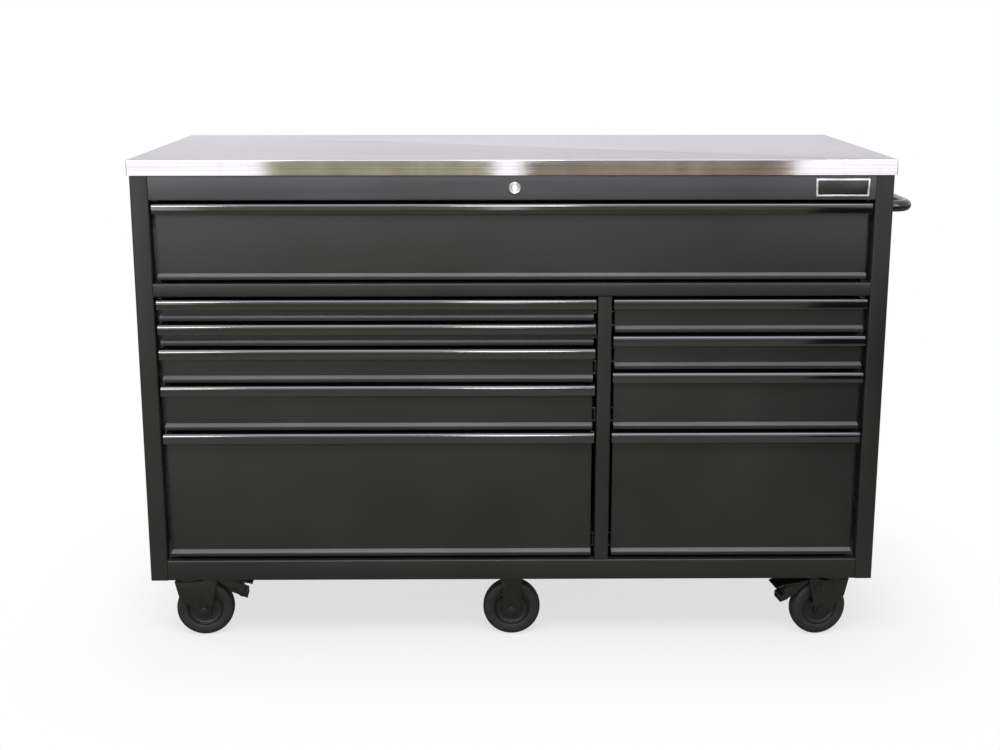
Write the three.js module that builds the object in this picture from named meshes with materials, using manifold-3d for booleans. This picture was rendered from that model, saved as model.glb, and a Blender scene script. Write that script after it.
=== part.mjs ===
// A rolling tool cabinet with ten drawers, a steel-wrapped worktop and six casters.
// Lengths are millimetres and +Z is up. The cabinet is built about its middle plane x = 0,
// with the front of its posts at y = 0 and the floor at z = 0, and is then moved so that
// the origin lies on the floor under the middle of the whole object.

import * as THREE from 'three';
import { mergeVertices } from 'three/addons/utils/BufferGeometryUtils.js';
import Module from 'manifold-3d';

const wasm = await Module();
wasm.setup();

// Cabinet body
const bodyWidth = 1549;
const bodyDepth = 552;
const sheet = 1.5;
const bend = 2.5;
const fit = 0.3;
const overrun = 5;
const weldShare = 0.01;
const postWidth = 37;
const postReturn = 20;
const rearFlange = 25;
const baseRailHeight = 45;
const middleRailHeight = 27.5;
const headerHeight = 51;
const railReturn = 20;

// Drawer fronts, from the bottom up, and the gap between them
const frontGap = 6;
const topFront = 160.5;
const deepFront = 277;
const leftFronts = [deepFront, 98, 73, 47, 47];
const rightShallowFronts = [73, 73];
const dividerWidth = 29;
const dividerCentre = 191;

// One drawer
const faceSetback = 19;
const bandHeight = 8;
const bevelRise = 4;
const bevelDepth = 11;
const frontEndGap = 8;
const frontReturn = 12;
const topFold = 10;
const trayLift = 4;
const trayDrop = 7;
const trayRear = 52;
const hemWidth = 7;

// Drawer pull
const pullEndGap = 4.5;
const pullHeight = 22;
const pullReach = 18;
const pullWall = 2.2;
const noseRadius = 8;
const flangeHeight = 21;

// Drawer slides
const slideThickness = 12;
const slideHeight = 30;
const slideStart = 45;
const slideRear = 50;
const slideLip = 4.5;
const slideGap = 0.4;
const slideRise = 3;
const trayGap = 1;
const uprightWidth = 40;
const uprightFlange = 34;
const uprightInset = 25;

// Hook slots in the divider
const slotWidth = 4;
const slotHeight = 9;
const slotInset = 9;

// Worktop
const topOverhang = 4;
const topThickness = 32;
const topBend = 2;

// Lock
const lockX = 4;
const lockBezelRadius = 12;
const lockBezelDepth = 2.5;
const barrelRadius = 9;
const barrelLength = 30;
const plugRadius = 6;
const keywayWidth = 2;
const keywayHeight = 8;
const keywayDepth = 12;
const rodRadius = 3;
const rodSocket = 8;
const crankRadius = 7.07;
const crankAngle = Math.PI / 4;
const crankThickness = 3;
const crankPinRadius = 2.5;
const pinPlay = 0.5;
const barWidth = 24;
const barThickness = 3;
const barArmHeight = 20;
const fingerWidth = 20;
const fingerThickness = 3;
const toothThickness = 4;
const toothHeight = 10;
const toothBack = 8;
const toothClear = 2.5;
const catchWidth = 28;
const catchDepth = 20;
const catchDrop = 10;
const catchInset = 12;
const keeperHeight = 18;
const keeperWall = 1.5;
const keeperDrawers = ['left_drawer_5', 'left_drawer_4', 'top_drawer'];
const bracketSetback = 22;
const bracketWidth = 26;
const bracketFoot = 5;

// Back panel beads
const beadWidth = 14;
const beadDepth = 3;
const beadShares = [-0.36, -0.2, 0.27, 0.4];

// Push handle
const handleReach = 61;
const handleTube = 25;
const handleFront = 50;
const handleRear = 62;
const handleDrop = 71;
const handleBend = 36;
const flangeRadius = 24;
const flangeThickness = 5;
const flangeBevel = 1.5;
const screwRadius = 3;
const screwHead = 1.6;

// Casters
const wheelRadius = 62.5;
const treadWidth = 32;
const casterInset = 68;
const casterFront = 62;
const trail = 32;
const plateLength = 100;
const plateWidth = 86;
const plateThickness = 4;
const plateCorner = 8;
const plateSlotLength = 14;
const plateSlotRadius = 4.5;
const plateSlotInset = 13;
const raceRadius = 29;
const raceStep = 4;
const raceInner = 13;
const lowerRaceHeight = 7.5;
const upperRaceHeight = 8.9;
const kingpinRadius = 6;
const rivetRadius = 9;
const rivetHeight = 3.4;
const crownHalf = 30;
const crownClear = 3;
const crownThickness = 3;
const legGap = 20;
const legThickness = 3;
const legRadius = 14;
const legWaist = 21;
const legWaistDrop = 39;
const legEar = 8;
const legArcStart = Math.PI * 1.1;
const axleRadius = 6;
const hubHalf = 18.5;
const hubRadius = 14;
const nutRadius = 9.5;
const nutThickness = 5;
const tyreInner = 38.75;
const tyreBead = 4;
const tyreShoulder = 8;
const treadFlat = 5;
const webHalf = 8;
const rigidLegHalf = 13;
const rigidPlateHalf = 24;

// Brake pedal
const pivotX = 54;
const pivotPin = 3;
const pivotEye = 6;
const pedalHalf = 17;
const pedalWing = 21;
const pedalReach = 140;
const pedalTip = 86;
const pedalPlate = 5;
const pedalWall = 3;
const wheelClear = 6.8;

// The pedal's side plate as shares: steps out from the tread and down from the eye's top, both
// of its height, places along the tread's half turn, and the fall of its foot plate
const pedalSideShares = [[0.33, 0.4], [0.25, 0.67], [0.47, 0.77], [0.47, 1], [0.17, 0.92], [0.08, 0.83]];
const pedalTreadShares = [0.19, 0.28, 0.36];
const pedalFallShares = [0.06, 0.25];

// Resting turn of each swivel caster about its kingpin
const turnFrontLeft = THREE.MathUtils.degToRad(4);
const turnFrontRight = THREE.MathUtils.degToRad(190);
const turnRearLeft = THREE.MathUtils.degToRad(-7);
const turnRearRight = THREE.MathUtils.degToRad(174);

// Facets on round pieces
const bendSteps = 2;
const arcSteps = 2;
const wheelSides = 16;
const pinSides = 10;
const tubeSides = 10;
const smallSides = 8;
const nutSides = 6;

// Sizes worked out from the ones above
const crownBottom = 2 * wheelRadius + crownClear;
const crownTop = crownBottom + crownThickness;
const pivotZ = crownTop;
const plateSlotX = plateLength / 2 - plateSlotInset;
const plateSlotY = plateWidth / 2 - plateSlotInset;
const casterHeight = crownTop + lowerRaceHeight + upperRaceHeight + plateThickness + 2 * fit;
const bodyBottom = casterHeight;
const total = (list) => list.reduce((sum, value) => sum + value, 0);
const columnHeight = total(leftFronts) + frontGap * (leftFronts.length + 1);
const baseRailTop = bodyBottom + baseRailHeight;
const middleRailBottom = baseRailTop + columnHeight;
const middleRailTop = middleRailBottom + middleRailHeight;
const headerBottom = middleRailTop + frontGap + topFront + frontGap;
const bodyTop = headerBottom + headerHeight;
const rightFiller = total(leftFronts) + frontGap - deepFront - total(rightShallowFronts);
const rightFronts = [deepFront, rightFiller, ...rightShallowFronts];
const halfWidth = bodyWidth / 2;
const openingEdge = halfWidth - postWidth;
const dividerLeft = dividerCentre - dividerWidth / 2;
const dividerRight = dividerCentre + dividerWidth / 2;
const floorTop = bodyBottom + sheet;
const trayBack = bodyDepth - trayRear;
const slideLength = bodyDepth - slideStart - slideRear;
const panelBack = bodyDepth - sheet - fit;
const panelFront = panelBack - sheet;
const barBack = panelFront - fit;
const barFront = barBack - barThickness;
const lockZ = bodyTop - headerHeight / 2;
const casterX = halfWidth - casterInset;
const casterRear = bodyDepth - casterFront;
const handleHeight = bodyTop - handleDrop;
const treadCorner = wheelRadius / Math.cos(Math.PI / wheelSides);
const lockBezelFront = -lockBezelDepth - fit;
const crankPinX = lockX - crankRadius * Math.cos(crankAngle);
const crankPinZ = lockZ - crankRadius * Math.sin(crankAngle);
const faceBack = faceSetback + sheet;
const bandFront = faceSetback - bevelDepth;

// Finishes
const finish = (color, roughness, metalness) =>
  new THREE.MeshStandardMaterial({ color, roughness, metalness });
const powderCoat = finish(0x3a3a3c, 0.5, 0.2);
const drawerCoat = finish(0x434345, 0.45, 0.2);
const glossBlack = finish(0x17181a, 0.25, 0.4);
const stainless = finish(0xc9cacc, 0.3, 1);
const board = finish(0x8a6f52, 0.8, 0);
const zincPlate = finish(0xa9adb0, 0.4, 0.9);
const chrome = finish(0xd8dadc, 0.15, 1);
const blackRubber = finish(0x1d1d1e, 0.8, 0);
const casterSteel = finish(0x2b2b2c, 0.5, 0.5);

// The object is gathered in cabinet axes inside a group that centres it
const object = new THREE.Group();
const cabinet = new THREE.Group();
cabinet.position.set((topOverhang - handleReach) / 2, -bodyDepth / 2, 0);
object.add(cabinet);

// Turns a closed three.js geometry into a solid that can be joined and cut.
function solid(geometry) {
  const plain = geometry.index ? geometry.toNonIndexed() : geometry.clone();
  plain.deleteAttribute('normal');
  plain.deleteAttribute('uv');
  const merged = mergeVertices(plain, fit * weldShare);
  return new wasm.Manifold(new wasm.Mesh({
    numProp: 3,
    vertProperties: new Float32Array(merged.attributes.position.array),
    triVerts: new Uint32Array(merged.index.array),
  }));
}

// Turns a solid back into a named mesh and hangs it in a group. Corners that joining left in the
// middle of flat faces and straight edges are taken out first.
function place(name, body, material, parent = cabinet) {
  const mesh = body.asOriginal().simplify(fit * weldShare).getMesh();
  const geometry = new THREE.BufferGeometry();
  geometry.setAttribute('position', new THREE.BufferAttribute(new Float32Array(mesh.vertProperties), 3));
  geometry.setIndex(new THREE.BufferAttribute(new Uint32Array(mesh.triVerts), 1));
  const piece = new THREE.Mesh(geometry.toNonIndexed(), material.clone());
  piece.geometry.computeVertexNormals();
  piece.name = name;
  parent.add(piece);
  return piece;
}

const join = (parts) => parts.reduce((whole, part) => whole.add(part));
const cut = (body, tools) => tools.reduce((rest, tool) => rest.subtract(tool), body);

// A rectangular block between two opposite corners.
function block(x0, x1, y0, y1, z0, z1) {
  const box = new THREE.BoxGeometry(x1 - x0, y1 - y0, z1 - z0);
  return solid(box.translate((x0 + x1) / 2, (y0 + y1) / 2, (z0 + z1) / 2));
}

const flat = (points) => new THREE.Shape(points.map(([a, b]) => new THREE.Vector2(a, b)));

// Extrudes an outline along one axis. The outline's own axes are y and z along x,
// x and z along y, and x and y along z.
function extrude(axis, shape, from, to) {
  const depth = to - from;
  const body = new THREE.ExtrudeGeometry(shape, { depth, bevelEnabled: false, curveSegments: arcSteps });
  const [ex, ey, ez] = [[1, 0, 0], [0, 1, 0], [0, 0, 1]].map((axes) => new THREE.Vector3(...axes));
  const turn = new THREE.Matrix4();
  if (axis === 'x') turn.makeBasis(ey, ez, ex).setPosition(from, 0, 0);
  if (axis === 'y') turn.makeBasis(ex, ez, ey.clone().negate()).setPosition(0, to, 0);
  if (axis === 'z') turn.makeBasis(ex, ey, ez).setPosition(0, 0, from);
  return solid(body.applyMatrix4(turn));
}

// Rounds each inner corner of an open line with an arc that touches both sides.
function roundCorners(points, radius) {
  const line = [points[0]];
  for (let i = 1; i < points.length - 1; i += 1) {
    const corner = new THREE.Vector2(...points[i]);
    const back = new THREE.Vector2(...points[i - 1]).sub(corner);
    const ahead = new THREE.Vector2(...points[i + 1]).sub(corner);
    const opening = Math.acos(back.clone().normalize().dot(ahead.clone().normalize()));
    const reach = Math.min(radius / Math.tan(opening / 2), back.length() / 2, ahead.length() / 2);
    const start = corner.clone().add(back.setLength(reach));
    const end = corner.clone().add(ahead.setLength(reach));
    const arc = new THREE.QuadraticBezierCurve(start, corner, end);
    arc.getPoints(bendSteps).forEach((point) => line.push([point.x, point.y]));
  }
  line.push(points[points.length - 1]);
  return line;
}

// Gives an open line the thickness of a sheet, half to each side, as one closed outline.
function sheetOutline(line, thickness) {
  const left = [];
  const right = [];
  line.forEach(([a, b], i) => {
    const before = line[Math.max(i - 1, 0)];
    const after = line[Math.min(i + 1, line.length - 1)];
    const into = new THREE.Vector2(a - before[0], b - before[1]);
    const out = new THREE.Vector2(after[0] - a, after[1] - b);
    if (into.length() === 0) into.copy(out);
    if (out.length() === 0) out.copy(into);
    const along = into.normalize().add(out.normalize()).normalize();
    const side = thickness / 2 / along.dot(out);
    left.push([a - along.y * side, b + along.x * side]);
    right.unshift([a + along.y * side, b - along.x * side]);
  });
  return flat([...left, ...right]);
}

// A folded sheet-metal section extruded along one axis.
function folded(axis, points, from, to, thickness = sheet, radius = bend) {
  const line = radius > 0 ? roundCorners(points, radius) : points;
  return extrude(axis, sheetOutline(line, thickness), from, to);
}

// A body of revolution about a line along z through the point (x, y).
function turned(profile, sides, x = 0, y = 0) {
  const points = profile.map(([radius, height]) => new THREE.Vector2(radius, height));
  const body = new THREE.LatheGeometry(points, sides).rotateX(Math.PI / 2);
  return solid(body.translate(x, y, 0));
}

// A solid cylinder along one axis, between two places on it.
function rod(axis, radius, from, to, sides, u = 0, v = 0) {
  const body = new THREE.CylinderGeometry(radius, radius, to - from, sides);
  const middle = (from + to) / 2;
  if (axis === 'x') body.rotateZ(Math.PI / 2).translate(middle, u, v);
  if (axis === 'y') body.translate(u, middle, v);
  if (axis === 'z') body.rotateX(Math.PI / 2).translate(u, v, middle);
  return solid(body);
}

// Where the drawers go: the two opening edges, the foot of the front and its height.
const drawers = [];
function stack(names, heights, left, right, foot) {
  let z = foot;
  heights.forEach((height, i) => {
    drawers.push({ name: names[i], left, right, z, height });
    z += height + frontGap;
  });
}
stack(['top_drawer'], [topFront], -openingEdge, openingEdge, middleRailTop + frontGap);
stack(['left_drawer_5', 'left_drawer_4', 'left_drawer_3', 'left_drawer_2', 'left_drawer_1'], leftFronts,
  -openingEdge, dividerLeft, baseRailTop + frontGap);
stack(['right_drawer_4', 'right_drawer_3', 'right_drawer_2', 'right_drawer_1'], rightFronts,
  dividerRight, openingEdge, baseRailTop + frontGap);

// A cylinder to cut a hole with, whose flats stay clear of the pin of the given radius.
const borer = (axis, radius, from, to, sides, u = 0, v = 0) =>
  rod(axis, radius / Math.cos(Math.PI / sides), from, to, sides, u, v);

// Folded side wall whose front edge turns inward as the corner post.
function sidePanel(name, side) {
  const wall = side * (halfWidth - sheet / 2);
  const edge = side * (openingEdge + sheet / 2);
  const line = [
    [edge, postReturn],
    [edge, sheet / 2],
    [wall, sheet / 2],
    [wall, bodyDepth - sheet / 2],
    [wall - side * rearFlange, bodyDepth - sheet / 2],
  ];
  place(name, folded('z', line, bodyBottom, bodyTop), powderCoat);
}

// Back sheet with pressed stiffening beads and the keepers of the lock bar.
function backPanel() {
  const edge = halfWidth - sheet - bend;
  const y = panelBack - sheet / 2;
  const line = [[-edge, y]];
  beadShares.forEach((share) => {
    const x = share * bodyWidth;
    line.push([x - beadWidth, y], [x - beadWidth / 2, y + beadDepth]);
    line.push([x + beadWidth / 2, y + beadDepth], [x + beadWidth, y]);
  });
  line.push([edge, y]);
  const panel = folded('z', line, floorTop + fit, bodyTop - fit, sheet, 0);
  const keepers = keeperDrawers.map((name) => keeper(drawers.find((drawer) => drawer.name === name).z));
  place('back_panel', join([panel, ...keepers]), powderCoat);
}

// Strap on the back sheet that holds the lock bar and lets it slide.
function keeper(z) {
  const half = barWidth / 2 + fit;
  const outer = half + keeperWall;
  const mouth = barFront - fit;
  const strap = block(dividerCentre - outer, dividerCentre + outer, mouth - keeperWall,
    panelFront + sheet / 2, z, z + keeperHeight);
  const way = block(dividerCentre - half, dividerCentre + half, mouth, panelFront, z - overrun,
    z + keeperHeight + overrun);
  return strap.subtract(way);
}

// Floor of the cabinet with its turned-up front rail.
function basePan() {
  const edge = openingEdge - fit;
  const rail = folded('x', [
    [railReturn, baseRailTop - sheet / 2],
    [sheet / 2, baseRailTop - sheet / 2],
    [sheet / 2, bodyBottom + sheet / 2],
    [railReturn + overrun, bodyBottom + sheet / 2],
  ], -edge, edge);
  const inner = halfWidth - sheet - fit;
  const floor = block(-inner, inner, postReturn + fit, panelFront - fit, bodyBottom, floorTop);
  place('base_pan', rail.add(floor), powderCoat);
}

// Folded cross rail between the posts.
function crossRail(z0, z1) {
  const edge = openingEdge - fit;
  return folded('x', [
    [railReturn, z1 - sheet / 2],
    [sheet / 2, z1 - sheet / 2],
    [sheet / 2, z0 + sheet / 2],
    [railReturn, z0 + sheet / 2],
  ], -edge, edge);
}

function headerRail() {
  const hole = borer('y', barrelRadius + fit, -overrun, overrun, pinSides, lockX, lockZ);
  place('header_rail', crossRail(headerBottom, bodyTop).subtract(hole), powderCoat);
}

const slideMiddle = (drawer) => drawer.z + trayLift + slideRise + slideHeight / 2;

// Fixed slide member: a channel whose lips hold the moving member. Its web is sunk into the sheet
// that carries it at the opening's edge, and side tells which way the drawer lies.
function fixedMember(edge, side, z) {
  const half = slideHeight / 2 - sheet / 2;
  const web = edge;
  const lip = edge + side * (slideThickness - sheet / 2);
  const line = [
    [lip, z + half - slideLip],
    [lip, z + half],
    [web, z + half],
    [web, z - half],
    [lip, z - half],
    [lip, z - half + slideLip],
  ];
  return folded('y', line, slideStart, slideStart + slideLength, sheet, 0);
}

// Moving slide member: a hat section whose brims run behind the lips of the fixed member.
function movingMember(edge, side, z) {
  const brimHalf = slideHeight / 2 - sheet - slideGap;
  const stemHalf = slideHeight / 2 - sheet - slideLip - slideGap - sheet / 2;
  const brim = edge + side * (slideThickness - sheet - slideGap - sheet / 2);
  const crown = edge + side * (slideThickness + trayGap + sheet / 2);
  const line = [
    [brim, z + brimHalf],
    [brim, z + stemHalf],
    [crown, z + stemHalf],
    [crown, z - stemHalf],
    [brim, z - stemHalf],
    [brim, z - brimHalf],
  ];
  const start = faceSetback + frontReturn + trayGap;
  return folded('y', line, start, start + slideLength, sheet, 0);
}

// Pressed channel inside a side wall that the slides are fastened to.
function upright(edge, side, y) {
  const web = edge - side * sheet / 2;
  const foot = web - side * uprightFlange;
  const line = [[foot, y], [web, y], [web, y + uprightWidth], [foot, y + uprightWidth]];
  return folded('z', line, floorTop + fit, bodyTop - fit);
}

// Slide rack: front and rear channels with the fixed members of one side.
function slideRack(name, edge, side) {
  const rear = slideStart + slideLength - uprightInset - uprightWidth;
  const parts = [upright(edge, side, slideStart + uprightInset), upright(edge, side, rear)];
  drawers.filter((drawer) => drawer.left === edge || drawer.right === edge)
    .forEach((drawer) => parts.push(fixedMember(edge, side, slideMiddle(drawer))));
  place(name, join(parts), zincPlate);
}

// Centre divider: a hat section with the slides of both columns and hook slots near its front.
function centreDivider() {
  const left = dividerLeft + sheet / 2;
  const right = dividerRight - sheet / 2;
  const back = slideStart + slideLength;
  const column = folded('z', [[left, back], [left, sheet / 2], [right, sheet / 2], [right, back]],
    floorTop + fit, middleRailTop - fit);
  const notchDepth = railReturn + fit;
  const notchLeft = dividerLeft - overrun;
  const notchRight = dividerRight + overrun;
  const notches = [
    [bodyBottom, baseRailTop + fit],
    [middleRailBottom - fit, middleRailTop + overrun],
  ].map(([low, high]) => block(notchLeft, notchRight, -overrun, notchDepth, low, high));
  const slots = [];
  const members = [];
  drawers.filter((drawer) => drawer.right === dividerLeft).forEach((drawer) => {
    members.push(fixedMember(dividerLeft, -1, slideMiddle(drawer)));
    slots.push(hookSlots(dividerLeft, slideMiddle(drawer)));
  });
  drawers.filter((drawer) => drawer.left === dividerRight).forEach((drawer) => {
    members.push(fixedMember(dividerRight, 1, slideMiddle(drawer)));
    slots.push(hookSlots(dividerRight, slideMiddle(drawer)));
  });
  place('centre_divider', join([cut(column, [...notches, ...slots.flat()]), ...members]), powderCoat);
}

// Two punched slots, one above the other, in the divider wall beside a slide.
function hookSlots(wall, z) {
  return [z - slotHeight, z + slotHeight].map((middle) => block(wall - overrun, wall + overrun, slotInset,
    slotInset + slotWidth, middle - slotHeight / 2, middle + slotHeight / 2));
}

// Folded drawer front: flat face, bevelled foot that steps forward, and top and side returns.
function drawerFront(drawer) {
  const top = drawer.z + drawer.height;
  const left = drawer.left + frontEndGap;
  const right = drawer.right - frontEndGap;
  const face = faceSetback + sheet / 2;
  const band = bandFront + sheet / 2;
  const skin = folded('x', [
    [face + topFold, top - sheet / 2],
    [face, top - sheet / 2],
    [face, drawer.z + bandHeight + bevelRise],
    [band, drawer.z + bandHeight],
    [band, drawer.z + sheet / 2],
    [face, drawer.z + sheet / 2],
  ], left, right, sheet, 0);
  const low = drawer.z + bandHeight + bevelRise;
  const back = faceSetback + frontReturn;
  const returns = [left, right - sheet].map((x) => block(x, x + sheet, faceSetback, back, low, top));
  return join([skin, ...returns]);
}

// Open tray with hemmed side edges.
function drawerTray(drawer) {
  const left = drawer.left + slideThickness + trayGap;
  const right = drawer.right - slideThickness - trayGap;
  const low = drawer.z + trayLift;
  const high = drawer.z + drawer.height - trayDrop;
  const shell = block(left, right, faceSetback, trayBack, low, high);
  const wall = trayBack - sheet;
  const inside = block(left + sheet, right - sheet, faceBack, wall, low + sheet, high + overrun);
  const hem = high - sheet;
  const hems = [left, right - hemWidth].map((x) => block(x, x + hemWidth, faceBack, wall, hem, high));
  return join([shell.subtract(inside), ...hems]);
}

// Down-turned catch at the back of a tray, which the lock bar's finger rises into.
function drawerCatch(drawer, x) {
  const high = drawer.z + drawer.height - trayDrop;
  const line = [
    [trayBack - sheet, high - sheet / 2],
    [trayBack + catchDepth - sheet / 2, high - sheet / 2],
    [trayBack + catchDepth - sheet / 2, high - sheet - catchDrop],
  ];
  return folded('x', line, x - catchWidth / 2, x + catchWidth / 2);
}

// Middle of a drawer's catch across the cabinet.
function catchX(drawer) {
  const off = slideThickness + trayGap + catchInset + catchWidth / 2;
  if (drawer.right === dividerLeft) return dividerLeft - off;
  if (drawer.left === dividerRight) return dividerRight + off;
  return dividerCentre;
}

function makeDrawer(drawer) {
  const z = slideMiddle(drawer);
  place(drawer.name, join([
    drawerFront(drawer),
    drawerTray(drawer),
    movingMember(drawer.left, 1, z),
    movingMember(drawer.right, -1, z),
    drawerCatch(drawer, catchX(drawer)),
  ]), drawerCoat);
  place(`${drawer.name}_pull`, pull(drawer), glossBlack);
}

// Extruded pull: a flange on the drawer face and a rounded nose with a finger hollow behind it.
function pull(drawer) {
  const top = drawer.z + drawer.height;
  const back = faceSetback - fit;
  const front = faceSetback - pullReach;
  const inner = noseRadius - pullWall;
  const lip = pullWall / 2;
  const outline = new THREE.Shape();
  outline.moveTo(back, top);
  outline.lineTo(front + noseRadius, top);
  outline.absarc(front + noseRadius, top - noseRadius, noseRadius, Math.PI / 2, Math.PI, false);
  outline.lineTo(front, top - pullHeight + lip);
  outline.absarc(front + lip, top - pullHeight + lip, lip, Math.PI, 2 * Math.PI, false);
  outline.lineTo(front + pullWall, top - noseRadius);
  outline.absarc(front + noseRadius, top - noseRadius, inner, Math.PI, Math.PI / 2, true);
  outline.lineTo(back - pullWall, top - pullWall);
  outline.lineTo(back - pullWall, top - flangeHeight);
  outline.lineTo(back, top - flangeHeight);
  return extrude('x', outline, drawer.left + pullEndGap, drawer.right - pullEndGap);
}

// Stainless tray turned over the board, and the board inside it.
function worktop() {
  const edge = halfWidth + topOverhang;
  const low = bodyTop + fit;
  const high = bodyTop + topThickness;
  const outline = roundedRectangle(-edge, edge, -topOverhang, bodyDepth + topOverhang, topBend);
  const skin = extrude('z', outline, low, high);
  const inside = block(-edge + sheet, edge - sheet, sheet - topOverhang, bodyDepth + topOverhang - sheet,
    low - overrun, high - sheet);
  place('worktop_skin', skin.subtract(inside), stainless);
  const half = edge - sheet - fit;
  place('worktop_core', block(-half, half, sheet + fit - topOverhang, bodyDepth + topOverhang - sheet - fit,
    low, high - sheet - fit), board);
}

// A rectangle with round corners, as an outline of the two axes in the order given.
function roundedRectangle(x0, x1, y0, y1, radius) {
  const shape = new THREE.Shape();
  shape.absarc(x1 - radius, y0 + radius, radius, -Math.PI / 2, 0, false);
  shape.absarc(x1 - radius, y1 - radius, radius, 0, Math.PI / 2, false);
  shape.absarc(x0 + radius, y1 - radius, radius, Math.PI / 2, Math.PI, false);
  shape.absarc(x0 + radius, y0 + radius, radius, Math.PI, Math.PI * 1.5, false);
  return shape;
}

// Lock barrel through the header, with a turned bezel.
function lockBarrel() {
  const bezel = rod('y', lockBezelRadius, lockBezelFront, -fit, wheelSides, lockX, lockZ);
  const start = lockBezelFront + lockBezelDepth / 2;
  const barrel = rod('y', barrelRadius, start, barrelLength, pinSides, lockX, lockZ);
  const bore = borer('y', plugRadius + fit, -overrun, barrelLength + overrun, pinSides, lockX, lockZ);
  place('lock_barrel', join([bezel, barrel]).subtract(bore), chrome);
}

// Keyed plug with a socket at its tail for the rod.
function lockPlug() {
  const back = barrelLength + rodSocket;
  const body = rod('y', plugRadius, lockBezelFront, back, pinSides, lockX, lockZ);
  const keyway = block(lockX - keywayWidth / 2, lockX + keywayWidth / 2, lockBezelFront - overrun,
    lockBezelFront + keywayDepth, lockZ - keywayHeight / 2, lockZ + keywayHeight / 2);
  const socket = borer('y', rodRadius + fit, barrelLength, back + overrun, smallSides, lockX, lockZ);
  place('lock_plug', cut(body, [keyway, socket]), chrome);
}

// Rod from the plug to the back, ending in the crank whose pin lifts the bar.
function lockRod() {
  const crankFront = barFront - fit - crankThickness;
  const crankBack = crankFront + crankThickness;
  const middle = crankFront + crankThickness / 2;
  const cheekRadius = crankRadius + crankPinRadius + pinPlay;
  const shaft = rod('y', rodRadius, barrelLength + fit, middle, smallSides, lockX, lockZ);
  const pin = rod('y', crankPinRadius, middle, barBack - fit, smallSides, crankPinX, crankPinZ);
  const cheek = rod('y', cheekRadius, crankFront, crankBack, pinSides, lockX, lockZ);
  place('lock_rod', join([shaft, cheek, pin]), zincPlate);
}

// Hanger under the worktop that carries the rear end of the rod.
function rodBracket() {
  const y = barFront - bracketSetback;
  const top = bodyTop - sheet / 2;
  const line = [[y + postReturn, top], [y, top], [y, lockZ - rodRadius - bracketFoot]];
  const plate = folded('x', line, lockX - bracketWidth / 2, lockX + bracketWidth / 2);
  const hole = borer('y', rodRadius + fit, y - overrun, y + overrun, smallSides, lockX, lockZ);
  place('rod_bracket', plate.subtract(hole), zincPlate);
}

// Finger of the lock bar for one drawer: an arm under the catch with an upturned tooth.
function finger(drawer, x) {
  const high = drawer.z + drawer.height - trayDrop;
  const toothTop = high - sheet - catchDrop - toothClear;
  const armTop = toothTop - toothHeight;
  const front = trayBack + toothBack;
  const outline = flat([
    [front, toothTop],
    [front, armTop - fingerThickness],
    [barFront + barThickness / 2, armTop - fingerThickness],
    [barFront + barThickness / 2, armTop],
    [front + toothThickness, armTop],
    [front + toothThickness, toothTop],
  ]);
  const hook = extrude('x', outline, x - fingerWidth / 2, x + fingerWidth / 2);
  const low = armTop - fingerThickness - barArmHeight / 2;
  const left = Math.min(x - fingerWidth / 2, dividerCentre);
  const right = Math.max(x + fingerWidth / 2, dividerCentre);
  const ear = block(left, right, barFront, barBack, low, armTop);
  return hook.add(ear);
}

// Lock bar: a flat upright bar behind the divider, with one finger for each drawer
// and a top arm that the crank pin lifts.
function lockBar() {
  const half = barArmHeight / 2;
  const end = crankPinX - half;
  const post = block(dividerCentre - barWidth / 2, dividerCentre + barWidth / 2, barFront, barBack,
    floorTop + fit, crankPinZ + half);
  const arm = block(end, dividerCentre, barFront, barBack, crankPinZ - half, crankPinZ + half);
  const fingers = drawers.map((drawer) => finger(drawer, catchX(drawer)));
  const swing = crankRadius * (1 - Math.cos(crankAngle));
  const play = crankPinRadius + pinPlay;
  const slot = block(crankPinX - swing - play, crankPinX + play, barFront - overrun, barBack + overrun,
    crankPinZ - play, crankPinZ + play);
  place('lock_bar', join([post, arm, ...fingers]).subtract(slot), zincPlate);
}

// Push handle: a bent tube on the right side wall, between two round flanges.
function pushHandle() {
  const wall = halfWidth + fit + flangeThickness / 2;
  const centre = halfWidth + handleReach - handleTube / 2;
  const rear = bodyDepth - handleRear;
  const point = (x, y) => new THREE.Vector3(x, y, handleHeight);
  const corners = [point(centre, handleFront), point(centre, rear)];
  const leg = [point(centre - handleBend, handleFront), point(centre - handleBend, rear)];
  const grip = [point(centre, handleFront + handleBend), point(centre, rear - handleBend)];
  const path = new THREE.CurvePath();
  path.add(new THREE.LineCurve3(point(wall, handleFront), leg[0]));
  path.add(new THREE.QuadraticBezierCurve3(leg[0], corners[0], grip[0]));
  path.add(new THREE.LineCurve3(grip[0], grip[1]));
  path.add(new THREE.QuadraticBezierCurve3(grip[1], corners[1], leg[1]));
  path.add(new THREE.LineCurve3(leg[1], point(wall, rear)));
  place('push_handle', sweep(path, handleTube / 2), glossBlack);
  place('handle_flange_front', handleFlange(handleFront), glossBlack);
  place('handle_flange_rear', handleFlange(rear), glossBlack);
}

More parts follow.
